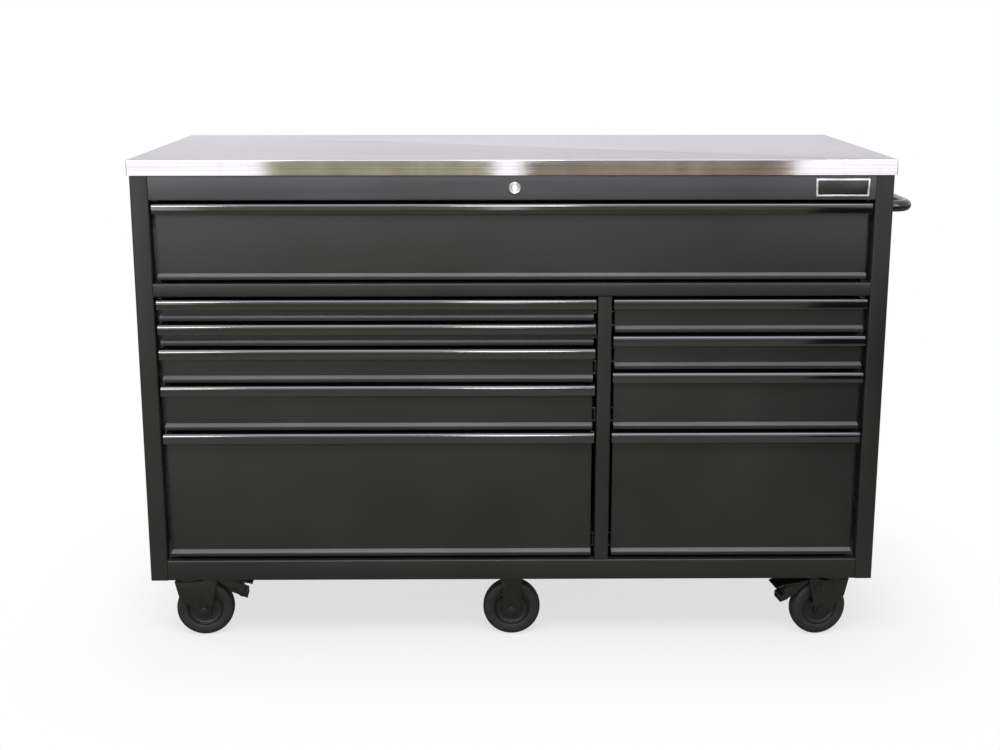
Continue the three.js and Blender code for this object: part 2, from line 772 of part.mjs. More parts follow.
// A round bar along a flat path, with its rings set at the path's own corners and bends.
function sweep(path, radius) {
  const steps = (curve) => (curve.type.startsWith('Line') ? 1 : 2 * bendSteps);
  const points = path.curves.flatMap((curve) => curve.getPoints(steps(curve)));
  const route = points.filter((point, i) => i === 0 || point.distanceTo(points[i - 1]) > fit);
  const along = (i) => {
    const before = route[Math.max(i - 1, 0)];
    const after = route[Math.min(i + 1, route.length - 1)];
    return after.clone().sub(before).normalize();
  };
  const rings = route.map((centre, i) => {
    const side = new THREE.Vector3(0, 0, 1).cross(along(i)).normalize();
    return Array.from({ length: tubeSides }, (_, k) => {
      const angle = 2 * Math.PI * k / tubeSides;
      const out = side.clone().multiplyScalar(radius * Math.cos(angle));
      return centre.clone().add(out).add(new THREE.Vector3(0, 0, radius * Math.sin(angle)));
    });
  });
  const corners = [...rings.flat(), route[0], route[route.length - 1]];
  const faces = [];
  const at = (ring, k) => ring * tubeSides + k % tubeSides;
  for (let k = 0; k < tubeSides; k += 1) {
    for (let ring = 0; ring < route.length - 1; ring += 1) {
      faces.push(at(ring, k), at(ring + 1, k + 1), at(ring + 1, k));
      faces.push(at(ring, k), at(ring, k + 1), at(ring + 1, k + 1));
    }
    faces.push(corners.length - 2, at(0, k + 1), at(0, k));
    faces.push(corners.length - 1, at(route.length - 1, k), at(route.length - 1, k + 1));
  }
  const geometry = new THREE.BufferGeometry().setFromPoints(corners);
  geometry.setIndex(faces);
  return solid(geometry);
}

// Round flange on the side wall, with a socket for the tube and two screw heads.
function handleFlange(y) {
  const wall = halfWidth + fit;
  const profile = [
    [0, 0],
    [flangeRadius, 0],
    [flangeRadius, flangeThickness - flangeBevel],
    [flangeRadius - flangeBevel, flangeThickness],
    [0, flangeThickness],
  ];
  const points = profile.map(([radius, height]) => new THREE.Vector2(radius, height));
  const disc = new THREE.LatheGeometry(points, wheelSides).rotateZ(-Math.PI / 2);
  const floor = wall + flangeThickness / 2 - fit;
  const mouth = wall + flangeThickness + overrun;
  const socket = borer('x', handleTube / 2 + fit, floor, mouth, wheelSides, y, handleHeight);
  const reach = (flangeRadius - flangeBevel + handleTube / 2) / 2;
  const screws = [-1, 1].map((side) => rod('x', screwRadius, wall + flangeThickness / 2,
    wall + flangeThickness + screwHead, smallSides, y, handleHeight + side * reach));
  return join([solid(disc.translate(wall, y, handleHeight)).subtract(socket), ...screws]);
}

// Outline of the plate that a caster is bolted up by, with a slotted bolt hole at each corner.
function plateOutline() {
  const [halfLength, halfPlate] = [plateLength / 2, plateWidth / 2];
  const shape = roundedRectangle(-halfLength, halfLength, -halfPlate, halfPlate, plateCorner);
  [-plateSlotX, plateSlotX].forEach((x) => [-plateSlotY, plateSlotY].forEach((y) => {
    const half = plateSlotLength / 2 - plateSlotRadius;
    const slot = new THREE.Path();
    slot.absarc(x + half, y, plateSlotRadius, -Math.PI / 2, Math.PI / 2, false);
    slot.absarc(x - half, y, plateSlotRadius, Math.PI / 2, Math.PI * 1.5, false);
    shape.holes.push(slot);
  }));
  return shape;
}

// Swivel caster plate with the upper ball race and the riveted kingpin.
function casterPlate() {
  const top = casterHeight - fit;
  const low = top - plateThickness;
  const plate = extrude('z', plateOutline(), low, top);
  const raceBottom = crownTop + lowerRaceHeight + fit;
  const race = turned([
    [0, raceBottom],
    [raceRadius - raceStep, raceBottom],
    [raceRadius, raceBottom + raceStep],
    [raceRadius, low + sheet],
    [0, low + sheet],
  ], pinSides);
  const rivetTop = crownBottom - fit;
  const kingpin = rod('z', kingpinRadius, rivetTop - rivetHeight / 2, raceBottom + sheet, smallSides);
  const rivet = turned([
    [0, rivetTop - rivetHeight],
    [rivetRadius / 2, rivetTop - rivetHeight],
    [rivetRadius, rivetTop - rivetHeight / 2],
    [rivetRadius, rivetTop],
    [0, rivetTop],
  ], smallSides);
  return join([plate, race, kingpin, rivet]);
}

// Outline of a swivel fork's leg: wide at the crown, an ear for the brake pivot,
// and a round end about the axle.
function legOutline() {
  const ear = pivotZ + legEar;
  const shape = new THREE.Shape();
  shape.moveTo(-crownHalf, crownTop);
  shape.lineTo(-legWaist, crownTop - legWaistDrop);
  shape.absarc(trail, wheelRadius, legRadius, legArcStart, 2 * Math.PI, false);
  shape.lineTo(pivotX + legEar, pivotZ - legEar);
  shape.lineTo(pivotX + legEar, ear - legEar / 2);
  shape.lineTo(pivotX + legEar / 2, ear);
  shape.lineTo(pivotX - legEar, ear);
  shape.lineTo(crownHalf, crownTop);
  return shape;
}

// A pair of fork legs of one outline, one on each side of the wheel.
function bothLegs(shape) {
  const outer = legGap + legThickness;
  return [[-outer, -legGap], [legGap, outer]].map(([from, to]) => extrude('y', shape, from, to));
}

// Swivel fork: crown, lower race, two legs, the axle bolt and the brake's pivot pin.
function swivelFork() {
  const outer = legGap + legThickness;
  const crownShape = new THREE.Shape();
  crownShape.moveTo(crownHalf, -outer);
  crownShape.lineTo(crownHalf, outer);
  crownShape.lineTo(-crownHalf / 2, outer);
  crownShape.lineTo(-crownHalf, outer / 2);
  crownShape.lineTo(-crownHalf, -outer / 2);
  crownShape.lineTo(-crownHalf / 2, -outer);
  const crown = extrude('z', crownShape, crownBottom, crownTop);
  const race = turned([
    [raceInner, crownBottom + crownThickness / 2],
    [raceRadius - raceStep / 2, crownBottom + crownThickness / 2],
    [raceRadius, crownTop + lowerRaceHeight / 2],
    [raceRadius - raceStep, crownTop + lowerRaceHeight],
    [raceInner, crownTop + lowerRaceHeight],
    [raceInner, crownBottom + crownThickness / 2],
  ], pinSides);
  const legs = bothLegs(legOutline());
  const axle = axleBolt(outer, trail);
  const pin = rod('y', pivotPin, -outer - sheet, outer + sheet, smallSides, pivotX, pivotZ);
  const hole = borer('z', kingpinRadius + fit, crownBottom - overrun, crownTop + overrun, smallSides);
  return join([crown, race, ...legs, ...axle, pin]).subtract(hole);
}

// Axle bolt across a fork, with its hexagon head and nut.
function axleBolt(outer, x) {
  const ends = [[-outer - nutThickness, -outer + sheet], [outer - sheet, outer + nutThickness]];
  const nuts = ends.map(([from, to]) => rod('y', nutRadius, from, to, nutSides, x, wheelRadius));
  return [rod('y', axleRadius, -outer, outer, pinSides, x, wheelRadius), ...nuts];
}

// Wheel turned about its axle: rubber tyre with round shoulders on a dished centre.
// It stands on a flat of the tread, whose middle lies at the wheel's radius.
function wheel() {
  const half = treadWidth / 2;
  const side = [
    [axleRadius + fit, hubHalf],
    [hubRadius, hubHalf],
    [hubRadius, webHalf],
    [tyreInner - tyreBead, webHalf],
    [tyreInner, half - tyreBead / 2],
    [wheelRadius - tyreShoulder, half],
    [treadCorner, treadFlat],
  ];
  const other = side.map(([radius, y]) => [radius, -y]).reverse();
  const points = [...side, ...other, side[0]].map(([radius, y]) => new THREE.Vector2(radius, y));
  return solid(new THREE.LatheGeometry(points.reverse(), wheelSides, Math.PI / wheelSides));
}

// Brake pedal: a pressed channel with an eye on the pivot, open towards the tread, whose hooked
// sides keep off the tread until the pedal goes down, and a wider plate to step on.
function brakePedal() {
  const clear = wheelRadius + wheelClear;
  const tread = (angle) => [trail + clear * Math.cos(angle), wheelRadius + clear * Math.sin(angle)];
  const eyeTop = pivotZ + pivotEye;
  const height = eyeTop - pedalTip;
  const sideShape = flat([
    [pivotX, eyeTop],
    ...pedalSideShares.map(([out, down]) => [trail + clear + out * height, eyeTop - down * height]),
    ...pedalTreadShares.map((share) => tread(share * Math.PI)),
    [pivotX, pivotZ - pivotEye],
    [pivotX - pivotEye, pivotZ - pivotEye / 2],
    [pivotX - pivotEye, pivotZ + pivotEye / 2],
  ]);
  const inner = pedalHalf - pedalWall;
  const hollow = extrude('y', sideShape, -inner, inner).translate(-pedalWall, 0, -pedalWall);
  const body = extrude('y', sideShape, -pedalHalf, pedalHalf).subtract(hollow);
  const start = pivotX + legEar + sheet;
  const [nearTop, farTop] = pedalFallShares.map((share) => eyeTop - share * height);
  const plateShape = flat([
    [start, nearTop],
    [pedalReach, farTop],
    [pedalReach, farTop - pedalPlate],
    [start, nearTop - pedalPlate],
  ]);
  const plate = extrude('y', plateShape, -pedalWing, pedalWing);
  const bore = borer('y', pivotPin + fit, -pedalWing, pedalWing, smallSides, pivotX, pivotZ);
  return join([body, plate]).subtract(bore);
}

// Rigid caster fork with straight legs under its own plate.
function rigidFork() {
  const outer = legGap + legThickness;
  const top = casterHeight - fit;
  const low = top - plateThickness;
  const plate = extrude('z', plateOutline(), low, top);
  const shape = new THREE.Shape();
  shape.moveTo(-rigidPlateHalf, low + sheet);
  shape.lineTo(-rigidLegHalf, 2 * wheelRadius - legRadius);
  shape.absarc(0, wheelRadius, rigidLegHalf, Math.PI, 2 * Math.PI, false);
  shape.lineTo(rigidLegHalf, 2 * wheelRadius - legRadius);
  shape.lineTo(rigidPlateHalf, low + sheet);
  const half = rigidPlateHalf - sheet;
  const bridge = block(-half, half, -outer, outer, crownTop, low + sheet);
  return join([plate, bridge, ...bothLegs(shape), ...axleBolt(outer, 0)]);
}

// Hangs one swivel caster under a corner, turned to where it rests.
function swivelCaster(name, x, y, turn) {
  const caster = new THREE.Group();
  caster.position.set(x, y, 0);
  cabinet.add(caster);
  place(`caster_plate_${name}`, casterPlate(), zincPlate, caster);
  const swivel = new THREE.Group();
  swivel.rotation.z = turn;
  caster.add(swivel);
  place(`caster_fork_${name}`, swivelFork(), casterSteel, swivel);
  place(`brake_pedal_${name}`, brakePedal(), casterSteel, swivel);
  place(`wheel_${name}`, wheel(), blackRubber, swivel).position.set(trail, 0, wheelRadius);
}

function rigidCaster(name, y) {
  const caster = new THREE.Group();
  caster.position.set(0, y, 0);
  cabinet.add(caster);
  place(`rigid_fork_${name}`, rigidFork(), casterSteel, caster);
  place(`wheel_${name}`, wheel(), blackRubber, caster).position.set(0, 0, wheelRadius);
}

sidePanel('left_side_panel', -1);
sidePanel('right_side_panel', 1);
backPanel();
basePan();
headerRail();
place('middle_rail', crossRail(middleRailBottom, middleRailTop), powderCoat);
slideRack('left_slide_rack', -openingEdge, 1);
slideRack('right_slide_rack', openingEdge, -1);
centreDivider();
worktop();
drawers.forEach(makeDrawer);
lockBarrel();
lockPlug();
lockRod();
rodBracket();
lockBar();
pushHandle();
swivelCaster('front_left', -casterX, casterFront, turnFrontLeft);
swivelCaster('front_right', casterX, casterFront, turnFrontRight);
swivelCaster('rear_left', -casterX, casterRear, turnRearLeft);
swivelCaster('rear_right', casterX, casterRear, turnRearRight);
rigidCaster('front_middle', casterFront);
rigidCaster('rear_middle', casterRear);

export default object;
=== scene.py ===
# %% [markdown]
# A rolling tool cabinet: a folded steel case with ten drawers, a stainless worktop, a push
# handle and six casters. The measured model is loaded first. It fixes where each part is and
# how it moves, and this lesson gives every part its real surface.

import math

import bpy
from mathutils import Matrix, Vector


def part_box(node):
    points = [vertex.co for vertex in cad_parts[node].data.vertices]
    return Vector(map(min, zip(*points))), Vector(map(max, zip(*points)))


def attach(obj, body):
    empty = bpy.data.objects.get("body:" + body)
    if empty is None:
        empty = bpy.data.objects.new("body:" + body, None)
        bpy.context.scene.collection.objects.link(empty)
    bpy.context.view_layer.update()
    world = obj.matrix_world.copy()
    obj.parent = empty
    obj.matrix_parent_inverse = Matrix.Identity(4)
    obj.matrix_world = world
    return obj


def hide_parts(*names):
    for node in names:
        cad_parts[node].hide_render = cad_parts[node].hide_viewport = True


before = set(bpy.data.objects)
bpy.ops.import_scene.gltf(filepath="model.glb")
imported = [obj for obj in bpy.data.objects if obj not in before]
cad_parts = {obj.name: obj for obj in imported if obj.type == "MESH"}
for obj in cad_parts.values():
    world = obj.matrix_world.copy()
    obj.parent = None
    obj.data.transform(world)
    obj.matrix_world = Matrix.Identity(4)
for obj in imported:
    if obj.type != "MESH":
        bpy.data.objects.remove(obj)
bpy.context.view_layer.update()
mm = 0.001

# %% [markdown]
# The case is easiest to think of from its own front: x from its middle, y back from the front
# of its corner posts, and z up from the floor. The header rail spans the opening evenly, so
# its box tells where that middle is in the model.

# %% Find the cabinet's own axes
front_low, front_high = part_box("header_rail")
cabinet = Vector(((front_low.x + front_high.x) / 2, front_low.y, 0))


def box_of(node):
    """Lowest and highest corner of a measured part, in the cabinet's own axes."""
    low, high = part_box(node)
    return low - cabinet, high - cabinet


header_low, header_high = box_of("header_rail")
rail_low, rail_high = box_of("middle_rail")
base_low, base_high = box_of("base_pan")
side_low, side_high = box_of("left_side_panel")
right_low, right_high = box_of("right_side_panel")
sheet = 1.5 * mm
bend = 2.5 * mm
tight_bend = 2 * mm
fit = 0.3 * mm
post_depth = 20 * mm
flange_width = 25 * mm
half_width = right_high.x
opening_edge = right_low.x
depth = side_high.y
body_bottom = side_low.z
body_top = side_high.z
print("case half width", round(half_width, 4), "depth", round(depth, 4), "top", round(body_top, 4))

# %% [markdown]
# Sheet metal is bent from a flat strip, so its parts are modelled the same way. One point is
# pushed along the section, the line is pulled out to the length of the part, the folds are
# rounded, and the sheet gets its thickness last. These helpers do each step with the tools of
# edit mode, with nothing else selected.

# %% Drawing a line
same_point = 0.01 * mm
same_plane = 0.1 * mm


def alone():
    """Leaves edit mode and deselects everything."""
    if bpy.context.object and bpy.context.object.mode != "OBJECT":
        bpy.ops.object.mode_set(mode="OBJECT")
    bpy.ops.object.select_all(action="DESELECT")


def draw_line(name, points):
    """A line through the points, drawn from one vertex. It is left in edit mode."""
    alone()
    bpy.ops.mesh.primitive_plane_add(size=mm)
    piece = bpy.context.object
    piece.name = piece.data.name = name
    bpy.ops.object.mode_set(mode="EDIT")
    bpy.ops.mesh.select_mode(type="VERT")
    bpy.ops.mesh.select_all(action="SELECT")
    bpy.ops.mesh.merge(type="CENTER")
    bpy.ops.transform.translate(value=Vector(points[0]))
    for before, after in zip(points, points[1:]):
        step = Vector(after) - Vector(before)
        bpy.ops.mesh.extrude_vertices_move(TRANSFORM_OT_translate={"value": step})
    bpy.ops.mesh.select_all(action="SELECT")
    return piece


def arc(centre, radius, start, end, steps):
    """Points on an arc, in degrees, as pairs."""
    turn = [math.radians(start + (end - start) * i / steps) for i in range(steps + 1)]
    return [(centre[0] + radius * math.cos(a), centre[1] + radius * math.sin(a)) for a in turn]


def on_plane(axis, pairs, along=0):
    """Pairs as points: y and z for the axis x, x and z for y, x and y for z."""
    point = {
        "x": lambda a, b: (along, a, b),
        "y": lambda a, b: (a, along, b),
        "z": lambda a, b: (a, b, along),
    }[axis]
    return [point(a, b) for a, b in pairs]


axes = {"x": Vector((1, 0, 0)), "y": Vector((0, 1, 0)), "z": Vector((0, 0, 1))}
print("drawing helpers ready for", list(axes))

# %% [markdown]
# Edges and faces are chosen by where they are, as one would click them: a test gets the
# corners of each and says whether it belongs. An operator of edit mode then acts on the
# choice.

# %% Choosing edges and faces
def pick(piece, kind, test):
    """Selects the edges or faces whose corners pass the test. The piece is left in edit mode."""
    bpy.ops.object.mode_set(mode="OBJECT")
    mesh = piece.data
    for group in (mesh.vertices, mesh.edges, mesh.polygons):
        group.foreach_set("select", [False] * len(group))
    chosen = 0
    for item in mesh.edges if kind == "EDGE" else mesh.polygons:
        corners = [mesh.vertices[i].co for i in item.vertices]
        if test(corners):
            item.select = True
            chosen += 1
    bpy.ops.object.mode_set(mode="EDIT")
    bpy.ops.mesh.select_mode(type=kind)
    return chosen


def along_axis(corners, axis):
    """True if an edge runs along the axis."""
    step = corners[1] - corners[0]
    return step.length > 0 and abs(step.normalized().dot(axes[axis])) > 0.999


def level_at(corners, axis, value):
    """True if all the corners lie at one value along the axis."""
    return all(abs(corner.dot(axes[axis]) - value) < same_plane for corner in corners)


def push(x=0, y=0, z=0):
    """Pulls new faces out of the chosen edges."""
    bpy.ops.mesh.extrude_edges_move(TRANSFORM_OT_translate={"value": (x, y, z)})


def round_off(radius, segments, clamp=False):
    """Rounds the chosen edges. With clamp, a fold stops where it would meet the next one."""
    bpy.ops.mesh.bevel(offset=radius, segments=segments, affect="EDGES", clamp_overlap=clamp)


def weld():
    """Merges doubles and turns the faces outwards, on the piece that is in edit mode."""
    bpy.ops.mesh.select_all(action="SELECT")
    bpy.ops.mesh.remove_doubles(threshold=same_point)
    bpy.ops.mesh.normals_make_consistent(inside=False)


print("points closer than", same_point, "are the same")

# %% [markdown]
# What concerns a whole piece, such as its thickness, its sharp edges or a cut by another
# piece, is left to a modifier, which is applied at once.

# %% Modifiers
def modify(piece, kind, **settings):
    """Adds a modifier with its settings and applies it."""
    alone()
    bpy.context.view_layer.objects.active = piece
    piece.select_set(True)
    modifier = piece.modifiers.new(kind.lower(), kind)
    for key, value in settings.items():
        setattr(modifier, key, value)
    bpy.ops.object.modifier_apply(modifier=modifier.name)
    return piece


def thicken(piece, thickness=sheet, offset=0):
    """Gives a sheet its thickness, half on each side unless offset says otherwise."""
    return modify(piece, "SOLIDIFY", thickness=thickness, offset=offset, use_even_offset=True)


def soften(piece, width, segments=2, angle=35):
    """Rounds all edges that are sharper than the angle."""
    return modify(piece, "BEVEL", width=width, segments=segments, limit_method="ANGLE",
                  angle_limit=math.radians(angle), harden_normals=False)


def cut(piece, other):
    """Cuts one piece by another, which is used up."""
    modify(piece, "BOOLEAN", object=other, operation="DIFFERENCE", solver="EXACT")
    bpy.data.objects.remove(other)
    return piece


print("thickness of the sheets", sheet)

# %% [markdown]
# Three kinds of shape make nearly the whole cabinet: a folded sheet, a thick plate with an
# outline, and a body turned on a lathe. Each has one function that uses the helpers above.

# %% Folded sheets, plates and turned bodies
def folded(name, axis, section, start, end, radius=bend, thickness=sheet, steps=4):
    """A sheet folded to the section, which is the middle of its thickness, along one axis."""
    inner = [Vector(point) for point in on_plane(axis, section[1:-1], start)]

    def at_a_fold(corners):
        offsets = [corners[0] - point for point in inner]
        beside = [offset - axes[axis] * offset.dot(axes[axis]) for offset in offsets]
        return along_axis(corners, axis) and any(offset.length < same_point for offset in beside)

    piece = draw_line(name, on_plane(axis, section, start))
    push(*axes[axis] * (end - start))
    if pick(piece, "EDGE", at_a_fold):
        round_off(radius, steps, True)
    weld()
    return thicken(piece, thickness)


def plate(name, axis, outline, start, end, edge=0):
    """A solid plate of the outline, from one place on an axis to another."""
    piece = draw_line(name, on_plane(axis, outline, start))
    bpy.ops.mesh.edge_face_add()
    bpy.ops.mesh.extrude_region_move(TRANSFORM_OT_translate={"value": axes[axis] * (end - start)})
    weld()
    alone()
    return soften(piece, edge) if edge else piece


def turned(name, axis, profile, centre=(0, 0, 0), sides=48):
    """A body of revolution. The profile gives radius and place along the axis."""
    across = axes["z"] if axis == "x" else axes["x"]
    points = [Vector(centre) + across * radius + axes[axis] * height for radius, height in profile]
    piece = draw_line(name, points)
    bpy.ops.mesh.spin(steps=sides, angle=2 * math.pi, center=centre, axis=axes[axis])
    weld()
    alone()
    return piece


def bar(name, axis, radius, start, end, centre=(0, 0, 0), sides=24):
    """A plain round bar along an axis, turned as well."""
    return turned(name, axis, [(0, start), (radius, start), (radius, end), (0, end)], centre, sides)


print("shapes ready, with folds of", bend)

# %% [markdown]
# A block between two corners is the start of what is not drawn as a line. A finished piece is
# then put in its place, gets its finish, and is told which body of the model it moves with.

# %% Blocks and finished pieces
def block(name, low, high, edge=0, segments=2):
    """A box between two corners, with its edges rounded if a radius is given."""
    low, high = Vector(low), Vector(high)
    alone()
    bpy.ops.mesh.primitive_cube_add(size=1, location=(low + high) / 2)
    piece = bpy.context.object
    piece.name = piece.data.name = name
    bpy.ops.transform.resize(value=high - low)
    bpy.ops.object.transform_apply(location=True, rotation=True, scale=True)
    return soften(piece, edge, segments) if edge else piece


def joined(name, pieces):
    """Several meshes as one object."""
    alone()
    for piece in pieces:
        piece.select_set(True)
    bpy.context.view_layer.objects.active = pieces[0]
    if len(pieces) > 1:
        bpy.ops.object.join()
    whole = bpy.context.object
    whole.name = whole.data.name = name
    return whole


def copied(piece, name):
    """A copy with its own mesh."""
    other = piece.copy()
    other.data = piece.data.copy()
    other.name = other.data.name = name
    bpy.context.scene.collection.objects.link(other)
    return other


def settle(piece, body, finish, replaced=(), angle=35, turn=0, place=(0, 0, 0)):
    """Puts a finished piece in its place in the model, with its place in its mesh."""
    alone()
    piece.select_set(True)
    bpy.context.view_layer.objects.active = piece
    piece.rotation_euler = (0, 0, turn)
    piece.location = Vector(place) + cabinet
    bpy.ops.object.transform_apply(location=True, rotation=True, scale=True)
    bpy.ops.object.shade_smooth_by_angle(angle=math.radians(angle))
    piece.data.materials.clear()
    piece.data.materials.append(finish)
    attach(piece, body)
    if replaced:
        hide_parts(*replaced)
    return piece


print("the cabinet's own axes start at", [round(v, 4) for v in cabinet])

# %% [markdown]
# Colours are written as they look on a screen and turned to linear light by one function.
# One more function adds a node with its settings and links. Every pattern is placed by the
# object's own coordinates in metres, so its scale is a real size.

# %% Colours and nodes
def colour(hex_code):
    """An sRGB hex colour as linear red, green, blue and alpha."""
    values = [int(hex_code[i:i + 2], 16) / 255 for i in (0, 2, 4)]
    return tuple(v / 12.92 if v <= 0.04045 else ((v + 0.055) / 1.055) ** 2.4 for v in values) + (1,)


def add(tree, kind, inputs=None, **settings):
    """Adds a node, sets its settings, and links or sets its inputs."""
    node = tree.nodes.new(kind)
    for key, value in settings.items():
        setattr(node, key, value)
    for key, value in (inputs or {}).items():
        if isinstance(value, bpy.types.NodeSocket):
            tree.links.new(value, node.inputs[key])
        else:
            node.inputs[key].default_value = value
    return node


print("charcoal in linear light", [round(v, 4) for v in colour("3f3f41")[:3]])

# %% [markdown]
# Soft noise makes the patterns of all the finishes. It is stretched for brushed or drawn
# metal, turned into a number or a mix of two colours, and used as height for a fine relief.

# %% Patterns and materials
def pattern(tree, size, detail=2, stretch=(1, 1, 1)):
    """Soft noise with features of the given size in metres, stretched along the axes."""
    place = add(tree, "ShaderNodeTexCoord").outputs["Object"]
    scaled = add(tree, "ShaderNodeMapping", {"Vector": place, "Scale": [1 / s for s in stretch]})
    return add(tree, "ShaderNodeTexNoise", {"Vector": scaled.outputs["Vector"], "Scale": 1 / size,
                                            "Detail": detail}).outputs["Fac"]


def between(tree, factor, low, high, start=0.3, end=0.7):
    """A number from low to high, as the factor goes from start to end."""
    return add(tree, "ShaderNodeMapRange", {"Value": factor, "From Min": start, "From Max": end,
                                            "To Min": low, "To Max": high}).outputs["Result"]


def blend_colours(tree, factor, first, second):
    """A mix of two colours, each given as a colour or as a node's output."""
    mix = add(tree, "ShaderNodeMix", {"Factor": factor}, data_type="RGBA")
    for socket, value in ((mix.inputs[6], first), (mix.inputs[7], second)):
        if isinstance(value, bpy.types.NodeSocket):
            tree.links.new(value, socket)
        else:
            socket.default_value = value
    return mix.outputs[2]


def surface(name, make):
    """A material whose Principled shader takes what make(tree) gives: its inputs by name."""
    material = bpy.data.materials.new(name)
    material.use_nodes = True
    tree = material.node_tree
    tree.nodes.clear()
    shader = add(tree, "ShaderNodeBsdfPrincipled", make(tree))
    add(tree, "ShaderNodeOutputMaterial", {"Surface": shader.outputs["BSDF"]})
    return material


def relief(tree, height, strength, distance):
    """The normals of a fine relief with the given height in metres."""
    return add(tree, "ShaderNodeBump", {"Height": height, "Strength": strength,
                                        "Distance": distance}).outputs["Normal"]


print("materials so far", len(bpy.data.materials))

# %% [markdown]
# The case and the drawers are steel with a satin charcoal powder coat. Baked powder flows
# into a faint orange peel and never lies quite evenly, so the eye sees a soft sheen with a
# slow change of tone. The real peel is under a millimetre wide and would be lost in the
# picture, so it is drawn at three. The header is the same paint as the case, but it gets a
# lighter grey, which is painted sheen from the light above and in front. The faces of the
# ledges at the foot of the drawers that look up get a lighter grey as well, a painted
# highlight where they catch the light from above.

# %% Powder coat
peel_size = 3 * mm
cloud_size = 260 * mm


def powder_coat(name, dark, light, sheen, level):
    def make(tree):
        cloud = pattern(tree, cloud_size)
        peel = pattern(tree, peel_size, 1)
        return {
            "Base Color": blend_colours(tree, between(tree, cloud, 0, 1), colour(dark), colour(light)),
            "Roughness": between(tree, cloud, sheen - 0.03, sheen + 0.04),
            "Specular IOR Level": level,
            "IOR": 1.5,
            "Normal": relief(tree, peel, 0.12, 0.3 * mm),
        }
    return surface(name, make)


case_coat = powder_coat("charcoal_powder_coat_case", "1b1b1c", "212122", 0.38, 0.5)
# The header is the same paint as the case: its lighter grey is painted sheen.
header_painted_sheen_coat = powder_coat("charcoal_powder_coat_header_painted_sheen", "3f3f44", "47474d", 0.34, 0.5)
drawer_coat = powder_coat("charcoal_powder_coat_drawers", "1c1c1d", "222223", 0.38, 0.5)
# The ledge coat's lighter grey is a painted highlight on faces that look up.
ledge_painted_highlight_coat = powder_coat("charcoal_powder_coat_ledge_painted_highlight", "67676b", "757579", 0.4, 0.5)
inner_coat = powder_coat("charcoal_powder_coat_inside", "252526", "2b2b2c", 0.5, 0.35)
print("coats", case_coat.name, drawer_coat.name, inner_coat.name)

# %% [markdown]
# The pulls are extruded aluminium, anodised black. Anodising keeps the fine lines of the
# extrusion, which run along the pull, so highlights are sharp across it and drawn out along
# it. Its hard clear oxide mirrors more than paint does, hence the high index of refraction.
# The push handle is steel tube with a gloss black coat, which is smooth and deeper.

# %% Gloss black finishes
def black_anodised(tree):
    lines = pattern(tree, 1.5 * mm, 2, (160, 1, 1))
    return {
        "Base Color": blend_colours(tree, lines, colour("0b0b0c"), colour("151517")),
        "Roughness": between(tree, lines, 0.08, 0.12),
        "IOR": 2.0,
        "Normal": relief(tree, lines, 0.08, 0.2 * mm),
    }


def gloss_coat(tree):
    peel = pattern(tree, peel_size, 1)
    return {
        "Base Color": blend_colours(tree, pattern(tree, 60 * mm), colour("0c0c0d"), colour("131315")),
        "Roughness": between(tree, peel, 0.2, 0.28),
        "IOR": 1.5,
        "Coat Weight": 0.3,
        "Coat Roughness": 0.12,
        "Normal": relief(tree, peel, 0.1, 0.25 * mm),
    }


pull_black = surface("black_anodised_aluminium", black_anodised)
handle_black = surface("gloss_black_powder_coat", gloss_coat)
print("pulls", pull_black.name, "handle", handle_black.name)

# %% [markdown]
# The worktop is stainless steel brushed along its length with a fine belt. Each scratch is a
# long shallow groove, so light spreads across the grain and stays sharp along it: lamps turn
# into upright bands on the front edge. The grit leaves scratches a tenth of a millimetre
# apart, and here they are drawn a millimetre apart so that they show. Work has dulled the
# deck, so it is rougher than the folded edge, and faint bands from the belt cross it.

# %% Brushed stainless steel
deck_height = box_of("worktop_skin")[1].z


def brushed_steel(tree):
    grain = pattern(tree, 1.1 * mm, 3, (420, 1, 1))
    broad = pattern(tree, 7 * mm, 2, (90, 1, 1))
    streak = between(tree, pattern(tree, 16 * mm, 1, (1, 60, 60)), 0.85, 1, 0.3, 0.42)
    fine = add(tree, "ShaderNodeMath", {0: grain, 1: broad}, operation="MULTIPLY").outputs[0]
    tone = add(tree, "ShaderNodeMath", {0: fine, 1: streak}, operation="MULTIPLY").outputs[0]
    worn = between(tree, tone, 0, 1, 0.12, 0.4)
    along = add(tree, "ShaderNodeCombineXYZ", {"X": 1.0}).outputs[0]
    place = add(tree, "ShaderNodeTexCoord").outputs["Object"]
    height = add(tree, "ShaderNodeSeparateXYZ", {"Vector": place}).outputs["Z"]
    deck = between(tree, height, 0, 0.2, deck_height - 2 * mm, deck_height - mm)
    polish = between(tree, grain, 0.07, 0.11)
    return {
        "Base Color": blend_colours(tree, worn, colour("aba8ac"), colour("bfbcc0")),
        "Metallic": 1.0,
        "Roughness": add(tree, "ShaderNodeMath", {0: polish, 1: deck}, operation="ADD").outputs[0],
        "Anisotropic": 0.95,
        "Anisotropic Rotation": 0.25,
        "Tangent": along,
        "Normal": relief(tree, grain, 0.12, 0.25 * mm),
    }


brushed = surface("brushed_stainless_steel", brushed_steel)
print("worktop", brushed.name)

# %% [markdown]
# Hidden and working parts have plainer finishes. The slides and the lock's rods are bright
# zinc, with a slightly cloudy grey lustre. The board in the worktop is pressed from wood
# chips, which show as small tan flakes. The lock is polished chrome.

# %% Zinc, board and chrome
def zinc(tree):
    spangle = pattern(tree, 9 * mm, 3)
    return {
        "Base Color": blend_colours(tree, between(tree, spangle, 0, 1), colour("a2a6ab"), colour("c3c6c9")),
        "Metallic": 1.0,
        "Roughness": between(tree, spangle, 0.28, 0.42),
        "Normal": relief(tree, pattern(tree, 2 * mm), 0.06, 0.2 * mm),
    }


